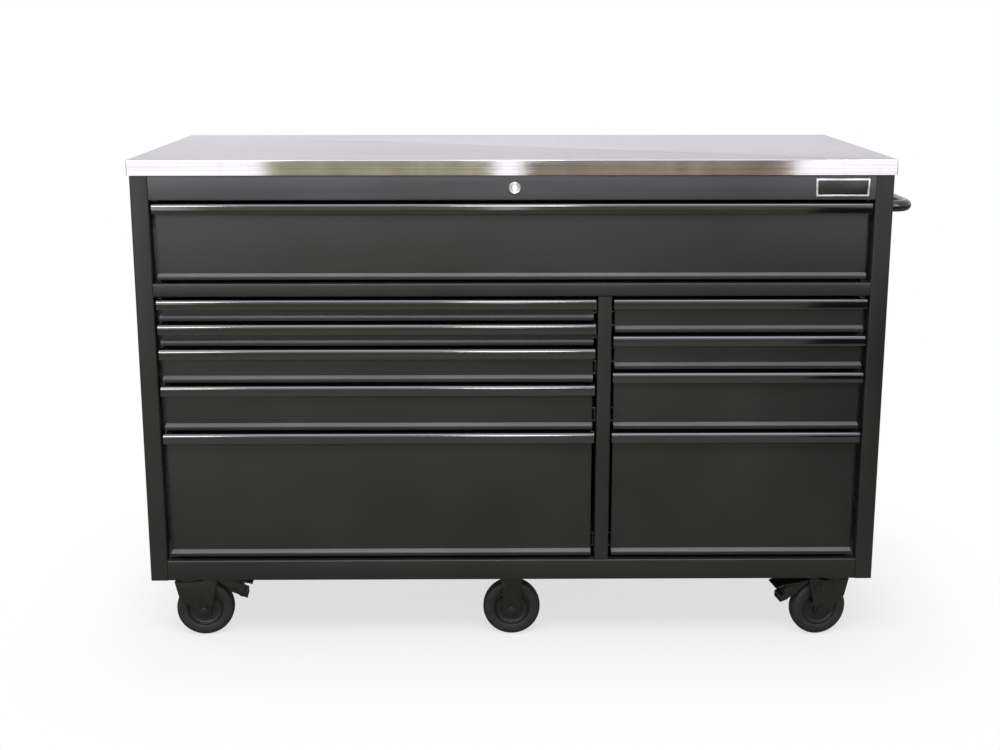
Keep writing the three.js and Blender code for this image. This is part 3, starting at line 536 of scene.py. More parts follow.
def particle_board(tree):
    place = add(tree, "ShaderNodeTexCoord").outputs["Object"]
    chips = add(tree, "ShaderNodeTexVoronoi", {"Vector": place, "Scale": 1 / (5 * mm)})
    shade = add(tree, "ShaderNodeSeparateColor", {"Color": chips.outputs["Color"]}).outputs["Red"]
    return {
        "Base Color": blend_colours(tree, shade, colour("80633f"), colour("b8976a")),
        "Roughness": between(tree, shade, 0.75, 0.9, 0, 1),
        "Normal": relief(tree, chips.outputs["Distance"], 0.2, 0.4 * mm),
    }


def polished_chrome(tree):
    haze = pattern(tree, 3 * mm)
    return {
        "Base Color": blend_colours(tree, haze, colour("cfd1d4"), colour("e8e9ea")),
        "Metallic": 1.0,
        "Roughness": between(tree, haze, 0.07, 0.16),
    }


bright_zinc = surface("bright_zinc_plated_steel", zinc)
chip_board = surface("particle_board", particle_board)
chrome = surface("polished_chrome", polished_chrome)
print("working parts", bright_zinc.name, chip_board.name, chrome.name)

# %% [markdown]
# The casters have three blacks. The tyre is moulded rubber, matt with a dusty bloom. The
# wheel's centre is moulded nylon, smoother and darker. The fork and pedal are pressed steel
# in a thin black paint that lets the pressing's small waves show.

# %% Caster finishes
def moulded_rubber(tree):
    bloom = pattern(tree, 12 * mm, 3)
    return {
        "Base Color": blend_colours(tree, between(tree, bloom, 0, 1), colour("1d1b1e"), colour("2b282c")),
        "Roughness": between(tree, bloom, 0.55, 0.72),
        "Specular IOR Level": 0.4,
        "Normal": relief(tree, pattern(tree, 1.6 * mm), 0.12, 0.25 * mm),
    }


def moulded_nylon(tree):
    flow = pattern(tree, 20 * mm)
    return {
        "Base Color": blend_colours(tree, flow, colour("0f0f10"), colour("1a1a1b")),
        "Roughness": between(tree, flow, 0.34, 0.46),
        "IOR": 1.53,
        "Normal": relief(tree, pattern(tree, 2 * mm), 0.08, 0.2 * mm),
    }


def black_paint(tree):
    wave = pattern(tree, 14 * mm, 2)
    return {
        "Base Color": blend_colours(tree, wave, colour("131312"), colour("20201e")),
        "Roughness": between(tree, wave, 0.3, 0.42),
        "IOR": 1.5,
        "Normal": relief(tree, wave, 0.12, 0.6 * mm),
    }


tyre_rubber = surface("black_moulded_rubber", moulded_rubber)
wheel_nylon = surface("black_moulded_nylon", moulded_nylon)
caster_paint = surface("black_painted_steel", black_paint)
print("casters", tyre_rubber.name, wheel_nylon.name, caster_paint.name)

# %% [markdown]
# The camera stands in front, a little above the worktop, and looks slightly down. Its lens is
# shifted rather than tilted further, which keeps the posts of the case nearly upright.

# %% Camera
camera_data = bpy.data.cameras.new("camera")
camera = bpy.data.objects.new("camera", camera_data)
bpy.context.scene.collection.objects.link(camera)
bpy.context.scene.camera = camera
camera_data.sensor_width = 36
camera_data.lens = 44.45
camera_data.shift_y = -0.12
camera.location = (-0.0752, -2.756, 1.329)
camera.rotation_euler = (math.radians(79.34), 0, math.radians(-0.48))
bpy.context.scene.view_settings.view_transform = "Standard"
print("camera height", camera.location.z)

# %% [markdown]
# The room is a plain studio. The world is white where the camera, a mirror or clear glass
# looks at it, and a soft grey fill for the rest. The floor is pale and keeps the shadow under
# and around the cabinet, and a little further off it goes over to the white of the room, so
# no horizon shows. Light that the floor throws back is dimmer and a little warm, as from a
# workshop floor, so that the foot of the cabinet is darker than its head.

# %% World and floor
fill_level = 0.5
floor_size = 40
shadow_reach = 0.5
least_white = 0.7
footprint = (0.7, 0.2, 0)
floor_bounce = "b2ae94"
floor_mirrored = "a6a59c"

world = bpy.data.worlds.new("white_studio")
bpy.context.scene.world = world
world.use_nodes = True
room = world.node_tree
room.nodes.clear()
path = add(room, "ShaderNodeLightPath").outputs
mirror = add(room, "ShaderNodeMath", {0: path["Is Glossy Ray"], 1: path["Is Transmission Ray"]},
             operation="MAXIMUM").outputs[0]
looked_at = add(room, "ShaderNodeMath", {0: path["Is Camera Ray"], 1: mirror},
                operation="MAXIMUM").outputs[0]
soft_fill = add(room, "ShaderNodeBackground", {"Color": (1, 1, 1, 1), "Strength": fill_level}).outputs[0]
white_room = add(room, "ShaderNodeBackground", {"Color": (1, 1, 1, 1), "Strength": 1}).outputs[0]
both = add(room, "ShaderNodeMixShader", {0: looked_at, 1: soft_fill, 2: white_room}).outputs[0]
add(room, "ShaderNodeOutputWorld", {"Surface": both})

alone()
bpy.ops.mesh.primitive_plane_add(size=floor_size)
floor = bpy.context.object
floor.name = floor.data.name = "studio_floor"
floor_paint = bpy.data.materials.new("pale_floor")
floor_paint.use_nodes = True
tree = floor_paint.node_tree
tree.nodes.clear()
place = add(tree, "ShaderNodeTexCoord").outputs["Object"]
side_of = add(tree, "ShaderNodeVectorMath", {0: place}, operation="ABSOLUTE").outputs[0]
beyond = add(tree, "ShaderNodeVectorMath", {0: side_of, 1: footprint}, operation="SUBTRACT").outputs[0]
outside = add(tree, "ShaderNodeVectorMath", {0: beyond, 1: (0, 0, 0)}, operation="MAXIMUM").outputs[0]
distance = add(tree, "ShaderNodeVectorMath", {0: outside}, operation="LENGTH").outputs["Value"]
reach = {"Value": distance, "From Min": 0, "From Max": shadow_reach, "To Min": least_white}
far = add(tree, "ShaderNodeMapRange", reach, interpolation_type="SMOOTHSTEP").outputs["Result"]
path = add(tree, "ShaderNodeLightPath").outputs
far_seen = add(tree, "ShaderNodeMath", {0: far, 1: path["Is Camera Ray"]}, operation="MULTIPLY").outputs[0]
speck = blend_colours(tree, pattern(tree, 0.4), colour("f0efed"), colour("f5f4f2"))
dim = blend_colours(tree, path["Is Glossy Ray"], colour(floor_bounce), colour(floor_mirrored))
seen = blend_colours(tree, path["Is Camera Ray"], dim, speck)
matt = add(tree, "ShaderNodeBsdfDiffuse", {"Color": seen}).outputs[0]
white = add(tree, "ShaderNodeEmission", {"Color": (1, 1, 1, 1), "Strength": 1}).outputs[0]
ground = add(tree, "ShaderNodeMixShader", {0: far_seen, 1: matt, 2: white}).outputs[0]
add(tree, "ShaderNodeOutputMaterial", {"Surface": ground})
floor.data.materials.append(floor_paint)
print("floor", floor_size, "m")

# %% [markdown]
# Two wide lamps light the cabinet softly from the front and the back. They make no mirror
# image, so the glossy pieces stay clean.

# %% Lamps
def lamp(name, place, aim, width, height, power):
    data = bpy.data.lights.new(name, "AREA")
    data.shape = "RECTANGLE"
    data.size, data.size_y, data.energy = width, height, power
    item = bpy.data.objects.new(name, data)
    bpy.context.scene.collection.objects.link(item)
    item.location = place
    item.rotation_euler = (Vector(aim) - Vector(place)).to_track_quat("-Z", "Y").to_euler()
    item.visible_camera = item.visible_glossy = False
    return item


middle_x = cabinet.x
lamp("front_lamp", (-0.5, -1.7, 2.7), (middle_x, -0.2, 0.9), 2.6, 0.9, 54)
lamp("back_lamp", (0, 2.6, 2.6), (middle_x, 0.2, 0.6), 2.4, 1.0, 40)

# %% [markdown]
# What the gloss shows is a row of panels in front of the cabinet that only reflections see.
# Low down, three white windows with olive screens between them give the steel edge its bands.
# Above them a pale strip draws a faint line along every pull, and three bright panels light
# the ends and the middle of the pulls. A dark flag keeps the right-hand post deep, and one
# more panel lies overhead for what faces up.

# %% Panels in the reflections
def reflector(name, left, right, low, high, distance, dark, light, strength, flat=False):
    """A panel that only mirror reflections see, upright in front or laid flat overhead."""
    alone()
    bpy.ops.mesh.primitive_plane_add(size=1)
    item = bpy.context.object
    item.name = item.data.name = name
    item.scale = (right - left, high - low, 1)
    if flat:
        item.location = ((left + right) / 2, (low + high) / 2, distance)
    else:
        item.location = ((left + right) / 2, -distance, (low + high) / 2)
        item.rotation_euler = (math.radians(90), 0, 0)
    bpy.ops.object.transform_apply(location=True, rotation=True, scale=True)
    item.visible_camera = item.visible_diffuse = False
    item.visible_shadow = item.visible_transmission = False
    cloth = bpy.data.materials.new(name + "_cloth")
    cloth.use_nodes = True
    tree = cloth.node_tree
    tree.nodes.clear()
    folds = pattern(tree, fold_size, 2, (1, 1, 30))
    tone = blend_colours(tree, between(tree, folds, 0, 1), colour(dark), colour(light))
    glow = add(tree, "ShaderNodeEmission", {"Color": tone, "Strength": strength}).outputs[0]
    add(tree, "ShaderNodeOutputMaterial", {"Surface": glow})
    item.data.materials.append(cloth)
    return item


panel_distance = 4.28
strip_distance = panel_distance + 0.1
screen_high, strip_high = 1.45, 3.4
bright_low, bright_high = 2.1, 3.2
far_left, far_right = -3.6, 3.6
windows = {"left": (far_left, -1.69), "middle": (-0.09, 0.12), "right": (2.03, far_right)}
bright_panels = {"left": (-2.8, -1.6), "middle": (-0.26, 0.38), "right": (2.4, 3.1)}
screens = {"left": ("918c68", "ece8c4"), "right": ("8f816c", "dccdb4")}
gaps = {
    "left": (windows["left"][1], windows["middle"][0]),
    "right": (windows["middle"][1], windows["right"][0]),
}
fold_size = 70 * mm

for name, (left, right) in windows.items():
    reflector(name + "_window", left, right, 0, screen_high, panel_distance, "f4f4f4", "ffffff", 2.3)
for name, (left, right) in bright_panels.items():
    reflector(name + "_bright", left, right, bright_low, bright_high, panel_distance, "f4f4f4", "ffffff", 20)
for name, (dark, light) in screens.items():
    reflector(name + "_screen", *gaps[name], 0, screen_high, panel_distance, dark, light, 1)
reflector("strip", far_left, far_right, screen_high, strip_high, strip_distance, "c8cde4", "d6dbf0", 1.8)
reflector("low_flag", 1.0, 2.6, 0, 0.76, 1.8, "141414", "1c1c1c", 1)
reflector("overhead", -1.6, 1.6, -3.0, -0.4, 3.2, "dcdce6", "e8e8f0", 4, flat=True)
print("windows", len(windows), "screens", len(screens), "bright panels", len(bright_panels))

# %% [markdown]
# Each side of the case is one sheet. Its front edge turns inward twice to make the corner
# post, and its rear edge turns inward as the flange that carries the back. Modelling it as a
# folded strip gives the round outer corner that catches a line of light.

# %% Side panels
sheet_edge = 0.25 * mm

for name, side in (("left_side_panel", -1), ("right_side_panel", 1)):
    low, high = box_of(name)
    wall = side * (half_width - sheet / 2)
    edge = side * (opening_edge + sheet / 2)
    front, rear = sheet / 2, depth - sheet / 2
    section = [(edge, post_depth), (edge, front), (wall, front), (wall, rear),
               (wall - side * flange_width, rear)]
    side_sheet = folded(name + "_sheet", "z", section, low.z, high.z)
    settle(soften(side_sheet, sheet_edge, 1, 60), "chassis", case_coat, [name])
    print(name, "faces", len(side_sheet.data.polygons))

# %% [markdown]
# The rails between the posts are folded channels. The header carries the lock, so it gets a
# hole, and the base pan's turned-up rail closes the front of the floor.

# %% Rails and base
lock_low, lock_high = box_of("lock_barrel")
lock_x = (lock_low.x + lock_high.x) / 2
lock_z = (lock_low.z + lock_high.z) / 2
lock_front = lock_low.y
hole_radius = 9.4 * mm
floor_edge = 0.3 * mm


def cross_rail(name, low, high, foot_depth=post_depth):
    """A channel between the posts: a face with its upper and lower edges turned back."""
    upper, lower = high.z - sheet / 2, low.z + sheet / 2
    section = [(post_depth, upper), (sheet / 2, upper), (sheet / 2, lower), (foot_depth, lower)]
    return folded(name, "x", section, header_low.x, header_high.x, tight_bend)


header = cross_rail("header_channel", header_low, header_high)
cut(header, bar("lock_hole", "y", hole_radius, -sheet, 3 * sheet, (lock_x, 0, lock_z), 48))
# The header gets the lighter coat, which is painted sheen.
settle(header, "chassis", header_painted_sheen_coat, ["header_rail"])
middle_channel = cross_rail("middle_channel", rail_low, rail_high)
settle(middle_channel, "chassis", case_coat, ["middle_rail"])
base_front = cross_rail("base_rail", base_low, base_high, flange_width)
settle(base_front, "chassis", case_coat)
inner = half_width - sheet - fit
floor_front = (-inner, post_depth + fit, base_low.z)
floor_rear = (inner, base_high.y, base_low.z + sheet)
base_floor = block("base_floor", floor_front, floor_rear, floor_edge)
settle(base_floor, "chassis", case_coat, ["base_pan"])
print("rails", header.name, middle_channel.name, base_front.name)

# %% [markdown]
# Behind the drawers stand the divider and two racks of slides. A slide is a zinc channel that
# a tray's own member runs in, so both take their places from the same values, and the tiny
# gaps between slide and tray are kept from the measured model.

# %% Where the slides are
slide_thickness = 12 * mm
slide_height = 30 * mm
slide_start = 45 * mm
slide_lip = 4.5 * mm
slide_lift = 3 * mm
slide_bend = 1.2 * mm
slide_gap = 0.4 * mm
tray_gap = 1 * mm
tray_lift = 4 * mm
tray_drop = 7 * mm
front_end_gap = 8 * mm

divider_low, divider_high = box_of("centre_divider")
slide_end = divider_high.y
drawers = []
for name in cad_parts:
    if "drawer" in name and not name.endswith("_pull"):
        low, high = box_of(name)
        drawers.append({"name": name, "left": low.x - front_end_gap, "right": high.x + front_end_gap,
                        "foot": low.z, "top": high.z})
divider_left = max(d["right"] for d in drawers if d["name"].startswith("left"))
divider_right = min(d["left"] for d in drawers if d["name"].startswith("right"))


def slide_middle(drawer):
    return drawer["foot"] + tray_lift + slide_lift + slide_height / 2


def fixed_member(edge, side, z):
    """The channel on a wall at the edge, open to the side on which the tray runs."""
    half = slide_height / 2 - sheet / 2
    lip = edge + side * (slide_thickness - sheet / 2)
    section = [(lip, z + half - slide_lip), (lip, z + half), (edge, z + half),
               (edge, z - half), (lip, z - half), (lip, z - half + slide_lip)]
    return folded("slide", "y", section, slide_start, slide_end, slide_bend, sheet, 2)


print("drawers", len(drawers), "slide length", round(slide_end - slide_start, 4))

# %% [markdown]
# Each rack is two uprights with the channels across them. The divider is one sheet round both
# sides of the column. It is notched where it meets the rails, and a pair of hook slots beside
# every slide is what the slide hangs in.

# %% Slide racks and divider
upright_reach = 34 * mm
upright_width = 40 * mm
upright_setback = 25 * mm
overrun = 5 * mm
hook_offset = 9 * mm
hook_half = 4.5 * mm
hook_front, hook_rear = 9 * mm, 13 * mm
rack_low, rack_high = box_of("left_slide_rack")


def upright(edge, side, y):
    """A pressed upright behind the slides, with its web on the wall's side of the edge."""
    web = edge - side * sheet / 2
    foot = web - side * upright_reach
    section = [(foot, y), (web, y), (web, y + upright_width), (foot, y + upright_width)]
    return folded("upright", "z", section, rack_low.z, rack_high.z)


for node, edge, side in (("left_slide_rack", -opening_edge, 1), ("right_slide_rack", opening_edge, -1)):
    places = (slide_start + upright_setback, slide_end - upright_setback - upright_width)
    parts = [upright(edge, side, y) for y in places]
    parts += [fixed_member(edge, side, slide_middle(d)) for d in drawers
              if min(abs(d["left"] - edge), abs(d["right"] - edge)) < mm]
    settle(joined(node + "_zinc", parts), "chassis", bright_zinc, [node])

wall_left, wall_right = divider_left + sheet / 2, divider_right - sheet / 2
column_section = [(wall_left, slide_end), (wall_left, sheet / 2), (wall_right, sheet / 2),
                  (wall_right, slide_end)]
column = folded("divider_column", "z", column_section, divider_low.z, divider_high.z, tight_bend)
for low, high in ((body_bottom, base_high.z + fit), (rail_low.z - fit, rail_high.z + overrun)):
    notch_low = (divider_left - overrun, -overrun, low)
    notch_high = (divider_right + overrun, post_depth + fit, high)
    cut(column, block("notch", notch_low, notch_high))
members = []
for drawer in drawers:
    z = slide_middle(drawer)
    for edge, side, hit in ((divider_left, -1, drawer["right"]), (divider_right, 1, drawer["left"])):
        if abs(edge - hit) > mm:
            continue
        members.append(fixed_member(edge, side, z))
        for middle in (z - hook_offset, z + hook_offset):
            slot_low = (edge - overrun, hook_front, middle - hook_half)
            slot_high = (edge + overrun, hook_rear, middle + hook_half)
            cut(column, block("slot", slot_low, slot_high))
settle(column, "chassis", case_coat, ["centre_divider"])
settle(joined("divider_slides", members), "chassis", bright_zinc)
print("divider slides", len(members))

# %% [markdown]
# The back is one sheet with four pressed beads that stop it drumming. A bead is a shallow
# trough, so the section steps out and in again with soft corners.

# %% Back panel
back_low, back_high = box_of("back_panel")
bead_shares = (-0.36, -0.2, 0.27, 0.4)
bead_width = 14 * mm
bead_depth = 3 * mm
back_middle = back_high.y - bead_depth - sheet / 2
section = [(back_low.x, back_middle)]
for share in bead_shares:
    x = share * 2 * half_width
    section += [(x - bead_width, back_middle), (x - bead_width / 2, back_middle + bead_depth),
                (x + bead_width / 2, back_middle + bead_depth), (x + bead_width, back_middle)]
section.append((back_high.x, back_middle))
back = folded("back_sheet", "z", section, back_low.z, back_high.z, tight_bend)
settle(back, "chassis", case_coat, ["back_panel"])
print("back beads", len(bead_shares))

# %% [markdown]
# The worktop is a shallow steel tray turned over a board. A box with its bottom left open
# gets round corners and a rolled upper edge, and then the steel's thickness on the inside.

# %% Worktop
top_low, top_high = box_of("worktop_skin")
corner_radius = 2 * mm
rim_radius = 2.2 * mm
skin = block("worktop_steel", top_low, top_high)
bpy.ops.object.mode_set(mode="EDIT")
pick(skin, "FACE", lambda c: level_at(c, "z", top_low.z))
bpy.ops.mesh.delete(type="FACE")
pick(skin, "EDGE", lambda c: along_axis(c, "z"))
round_off(corner_radius, 5)
pick(skin, "EDGE", lambda c: level_at(c, "z", top_high.z))
round_off(rim_radius, 5)
weld()
thicken(skin, sheet, -1)
settle(skin, "chassis", brushed, ["worktop_skin"], 30)
print("worktop", [round(v, 4) for v in skin.dimensions])

# %% [markdown]
# A drawer front is one sheet: a flat face whose top and ends turn back, and whose foot steps
# forward in a bevelled band. The section is drawn from the top fold down to the return under
# the band, and the ends are then pulled back as flaps. The faces of the band that look up
# get the lighter ledge coat as a second material: a painted highlight where they catch the light.

# %% Drawer fronts
face_setback = 19 * mm
top_return = 10 * mm
end_return = 12 * mm
band_height = 8 * mm
bevel_rise = 4 * mm
bevel_depth = 11 * mm
front_bend = 1.1 * mm
ledge_steepness = 0.6
face = face_setback + sheet / 2
band = face - bevel_depth


def drawer_front(drawer):
    top, foot = drawer["top"], drawer["foot"]
    left, right = drawer["left"] + front_end_gap, drawer["right"] - front_end_gap
    section = [(face + top_return, top - sheet / 2), (face, top - sheet / 2),
               (face, foot + band_height + bevel_rise), (band, foot + band_height),
               (band, foot + sheet / 2), (face, foot + sheet / 2)]
    folds = [Vector(pair) for pair in section[1:-1]]

    def above_the_band(corners):
        return level_at(corners, "y", face) and min(corner.z for corner in corners) > foot + band_height

    def at_a_fold(corners):
        if along_axis(corners, "x"):
            return any((corners[0].yz - fold).length < same_plane for fold in folds)
        return along_axis(corners, "z") and above_the_band(corners)

    piece = draw_line(drawer["name"] + "_front", on_plane("x", section, left))
    push(x=right - left)
    for end in (left, right):
        pick(piece, "EDGE", lambda c: level_at(c, "x", end) and above_the_band(c))
        push(y=end_return - sheet / 2)
    pick(piece, "EDGE", at_a_fold)
    round_off(front_bend, 3, True)
    weld()
    return thicken(piece)


for drawer in drawers:
    front_piece = drawer_front(drawer)
    settle(front_piece, drawer["name"], drawer_coat, [drawer["name"]])
    # Faces of the band that look up get the lighter ledge coat: a painted highlight.
    front_piece.data.materials.append(ledge_painted_highlight_coat)
    ledge_top = drawer["foot"] + band_height + bevel_rise + mm
    for polygon in front_piece.data.polygons:
        if polygon.normal.z > ledge_steepness and polygon.center.z < ledge_top:
            polygon.material_index = 1
print("fronts", len(drawers), "faces each", len(front_piece.data.polygons))

# %% [markdown]
# Behind each front is an open tray with hemmed sides. It is a box with its top taken off and
# its side edges folded in.

# %% Trays
tray_back_gap = 2 * mm
tray_back = slide_end - tray_back_gap
tray_fold = 1.6 * mm
hem_width = 6 * mm


def drawer_tray(drawer):
    wall = slide_thickness + tray_gap + sheet / 2
    low = (drawer["left"] + wall, face + sheet, drawer["foot"] + tray_lift + sheet / 2)
    high = (drawer["right"] - wall, tray_back - sheet / 2, drawer["top"] - tray_drop - sheet / 2)
    rim = high[2]
    piece = block(drawer["name"] + "_tray", low, high)
    bpy.ops.object.mode_set(mode="EDIT")
    pick(piece, "FACE", lambda c: level_at(c, "z", rim))
    bpy.ops.mesh.delete(type="ONLY_FACE")
    pick(piece, "EDGE", lambda c: not level_at(c, "z", rim))
    round_off(tray_fold, 3)
    for x, hem in ((low[0], hem_width), (high[0], -hem_width)):
        pick(piece, "EDGE", lambda c: level_at(c, "z", rim) and level_at(c, "x", x) and along_axis(c, "y"))
        push(x=hem)
    weld()
    return thicken(piece)


print("trays end at", round(tray_back, 4))

# %% [markdown]
# The slide members on a tray's walls are hat sections in bright zinc, whose brims run inside
# the fixed channels. A small catch at the tray's back is what the lock bar holds.

# %% Slide members and catches
member_bend = 1 * mm
catch_inset = 26 * mm
catch_half_width = 14 * mm
catch_height = 11.5 * mm
catch_depth = max(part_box(d["name"])[1].y for d in drawers) - cabinet.y - tray_back


def moving_member(edge, side, z):
    """The hat section on the tray's wall, whose brims run inside the fixed channel."""
    brim_half = slide_height / 2 - sheet - slide_gap
    stem_half = brim_half - slide_lip - sheet / 2
    brim = edge + side * (slide_thickness - sheet - slide_gap - sheet / 2)
    crown = edge + side * (slide_thickness + tray_gap - sheet / 2)
    section = [(brim, z + brim_half), (brim, z + stem_half), (crown, z + stem_half),
               (crown, z - stem_half), (brim, z - stem_half), (brim, z - brim_half)]
    start = face_setback + end_return + tray_gap
    return folded("member", "y", section, start, start + slide_end - slide_start, member_bend, sheet, 2)


def drawer_catch(drawer):
    """The hook at the tray's back. It hangs beside the divider, or in its middle for the wide drawer."""
    inset = slide_thickness + tray_gap + catch_inset
    x = (divider_left + divider_right) / 2
    if abs(drawer["right"] - divider_left) < mm:
        x = divider_left - inset
    if abs(drawer["left"] - divider_right) < mm:
        x = divider_right + inset
    high = drawer["top"] - tray_drop
    hook_back = tray_back + catch_depth - sheet / 2
    plane = high - sheet / 2
    section = [(tray_back - sheet, plane), (hook_back, plane), (hook_back, high - catch_height)]
    return folded(drawer["name"] + "_catch", "x", section, x - catch_half_width, x + catch_half_width)


for drawer in drawers:
    name, z = drawer["name"], slide_middle(drawer)
    settle(drawer_tray(drawer), name, inner_coat)
    pair = [moving_member(drawer["left"], 1, z), moving_member(drawer["right"], -1, z)]
    settle(joined(name + "_slides", pair), name, bright_zinc)
    settle(drawer_catch(drawer), name, bright_zinc)
print("trays and slide pairs", len(drawers), "catch depth", round(catch_depth, 4))

# %% [markdown]
# The pull is an aluminium extrusion that hooks over the top of the front. Its nose is a
# quarter round with a wall of two millimetres and a soft lip, and the hand goes up behind
# it. The section is drawn once for each length and the pulls of a column are copies.

# %% Drawer pulls
pull_end_gap = 4.5 * mm
pull_height = 22 * mm
pull_reach = 18 * mm
pull_wall = 2.2 * mm
nose_radius = 8 * mm
flange_height = 21 * mm
nose_steps = 10
lip_steps = 6


def pull_section():
    """The pull's outline, as depth and height below the top of the front."""
    back_face = face_setback - fit
    inner_face = back_face - pull_wall
    front_face = face_setback - pull_reach
    lip = pull_wall / 2
    nose = (front_face + nose_radius, -nose_radius)
    outline = [(back_face, 0)]
    outline += arc(nose, nose_radius, 90, 180, nose_steps)
    outline += arc((front_face + lip, lip - pull_height), lip, 180, 360, lip_steps)
    outline += arc(nose, nose_radius - pull_wall, 180, 90, nose_steps)
    return outline + [(inner_face, -pull_wall), (inner_face, -flange_height), (back_face, -flange_height)]


shared = {}
for drawer in drawers:
    left, right = drawer["left"] + pull_end_gap, drawer["right"] - pull_end_gap
    key = (round(left, 4), round(right, 4))
    name = drawer["name"] + "_pull"
    if key not in shared:
        shared[key] = plate("pull_section", "x", pull_section(), left, right)
    pull = copied(shared[key], name + "_extrusion")
    settle(pull, drawer["name"], pull_black, [name], 40, 0, (0, 0, drawer["top"]))
for model in shared.values():
    bpy.data.objects.remove(model)
print("pull sections", len(shared))

# %% [markdown]
# The lock sits in the middle of the header. Its chrome bezel is turned with a rounded rim and
# a shallow dish, and the plug inside it has a keyway, which is cut with a thin block. The rod
# and bar that it moves stay as measured, and get their zinc here.

# %% Lock
bezel_radius = 12 * mm
bezel_rim = 1.2 * mm
barrel_radius = 9 * mm
barrel_depth = 30 * mm
bore_bevel, bore_drop = 0.9 * mm, 0.4 * mm
dish_drop, rim_drop = 0.1 * mm, 0.5 * mm
plug_radius = 6 * mm
plug_edge = 0.6 * mm
keyway_half_width = 1 * mm
keyway_half_height = 4 * mm
keyway_depth = 12 * mm
bore = plug_radius + fit
lock_centre = (lock_x, 0, lock_z)
plug_low, plug_high = box_of("lock_plug")

bezel_profile = [(bore, barrel_depth), (bore, lock_front + bore_drop),
                 (bore + bore_bevel, lock_front + dish_drop),
                 (bezel_radius - 2 * bezel_rim, lock_front + rim_drop)]
bezel_profile += [(bezel_radius - bezel_rim + out, lock_front + bezel_rim - ahead)
                  for out, ahead in arc((0, 0), bezel_rim, 120, 0, 5)]
bezel_profile += [(bezel_radius, -fit), (barrel_radius, -fit), (barrel_radius, barrel_depth)]
bezel = turned("lock_bezel", "y", bezel_profile + bezel_profile[:1], lock_centre)
settle(bezel, "chassis", chrome, ["lock_barrel"], 30)

plug_front = plug_low.y
plug_profile = [(0, plug_front), (plug_radius - plug_edge, plug_front),
                (plug_radius, plug_front + plug_edge), (plug_radius, plug_high.y), (0, plug_high.y)]
plug = turned("lock_cylinder", "y", plug_profile, lock_centre)
keyway_low = (lock_x - keyway_half_width, plug_front - mm, lock_z - keyway_half_height)
keyway_high = (lock_x + keyway_half_width, plug_front + keyway_depth, lock_z + keyway_half_height)
cut(plug, block("keyway", keyway_low, keyway_high))
settle(plug, "lock_core", chrome, ["lock_plug"], 30)
for node in ("lock_rod", "rod_bracket", "lock_bar", "worktop_core"):
    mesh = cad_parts[node].data
    mesh.materials.clear()
    mesh.materials.append(chip_board if node == "worktop_core" else bright_zinc)
print("lock at", round(lock_x, 4), round(lock_z, 4))

# %% [markdown]
# At the right end of the header sits a small bare plate: a black field in a silver frame.
# Both are thin blocks with soft edges, and an opening is cut out of the frame's block.

# %% Bare plate on the header
badge_left, badge_right = 615 * mm, 724 * mm
badge_low, badge_high = 982 * mm, 1018.5 * mm
badge_thickness = 1.2 * mm
badge_frame = 3.8 * mm
field_edge = 0.4 * mm
frame_edge = 0.3 * mm


def black_field(tree):
    grain = pattern(tree, 2 * mm)
    return {
        "Base Color": blend_colours(tree, grain, colour("1b1b1d"), colour("242427")),
        "Roughness": between(tree, grain, 0.3, 0.38),
        "Normal": relief(tree, grain, 0.05, 0.2 * mm),
    }


def silver_edge(tree):
    lines = pattern(tree, 0.8 * mm, 2, (60, 1, 1))
    return {
        "Base Color": blend_colours(tree, lines, colour("dcdde0"), colour("f2f3f5")),
        "Metallic": 1.0,
        "Roughness": between(tree, lines, 0.25, 0.38),
    }


field_black = surface("black_lacquered_plate", black_field)
frame_silver = surface("satin_aluminium_frame", silver_edge)
field_back = -fit
field_front = field_back - badge_thickness
frame_front = field_front - badge_thickness / 2
field = block("name_plate_field", (badge_left, field_front, badge_low), (badge_right, field_back, badge_high),
              field_edge)
settle(field, "chassis", field_black)
plate_frame = block("name_plate_frame", (badge_left, frame_front, badge_low),
                    (badge_right, field_front, badge_high))
opening_low = (badge_left + badge_frame, frame_front - mm, badge_low + badge_frame)
opening_high = (badge_right - badge_frame, 0, badge_high - badge_frame)
cut(plate_frame, block("name_plate_opening", opening_low, opening_high))
settle(soften(plate_frame, frame_edge), "chassis", frame_silver)
print("plate", round(badge_right - badge_left, 3), "by", round(badge_high - badge_low, 4))

# %% [markdown]
# The push handle is a tube bent at both ends. A ring is pulled out from the flange, spun
# through the bend, pulled along the grip, spun again and pulled back, as a bender would do.

# %% Push handle
handle_low, handle_high = box_of("push_handle")
tube = (handle_high.z - handle_low.z) / 2
handle_z = (handle_high.z + handle_low.z) / 2
grip_x = handle_high.x - tube
near_y, far_y = handle_low.y + tube, handle_high.y - tube
bend_radius = 30 * mm
leg = grip_x - bend_radius - handle_low.x


def quarter_turn(x, y):
    """Spins the open end a quarter turn to the rear. Without a window, spin turns the other way."""
    bpy.ops.mesh.spin(steps=14, angle=-math.pi / 2, center=(x, y, handle_z), axis=(0, 0, 1))


def straight(x, y):
    """Pulls the open end straight on."""
    bpy.ops.mesh.extrude_region_move(TRANSFORM_OT_translate={"value": (x, y, 0)})


alone()
bpy.ops.mesh.primitive_circle_add(vertices=32, radius=tube, location=(handle_low.x, near_y, handle_z),
                                  rotation=(0, math.pi / 2, 0), fill_type="NGON")
handle = bpy.context.object
handle.name = handle.data.name = "push_handle_tube"
bpy.ops.object.transform_apply(location=True, rotation=True, scale=True)
bpy.ops.object.mode_set(mode="EDIT")
bpy.ops.mesh.select_all(action="SELECT")
straight(leg, 0)
quarter_turn(grip_x - bend_radius, near_y + bend_radius)
straight(0, far_y - near_y - 2 * bend_radius)
quarter_turn(grip_x - bend_radius, far_y - bend_radius)
straight(-leg, 0)
weld()
alone()
settle(handle, "chassis", handle_black, ["push_handle"], 40)
print("handle size", [round(v, 4) for v in handle.dimensions])

# %% [markdown]
# Each end of the handle stands in a round flange with two pan-head screws. The flange is
# turned with a soft shoulder, and a screw is a small dome with a cross recess.

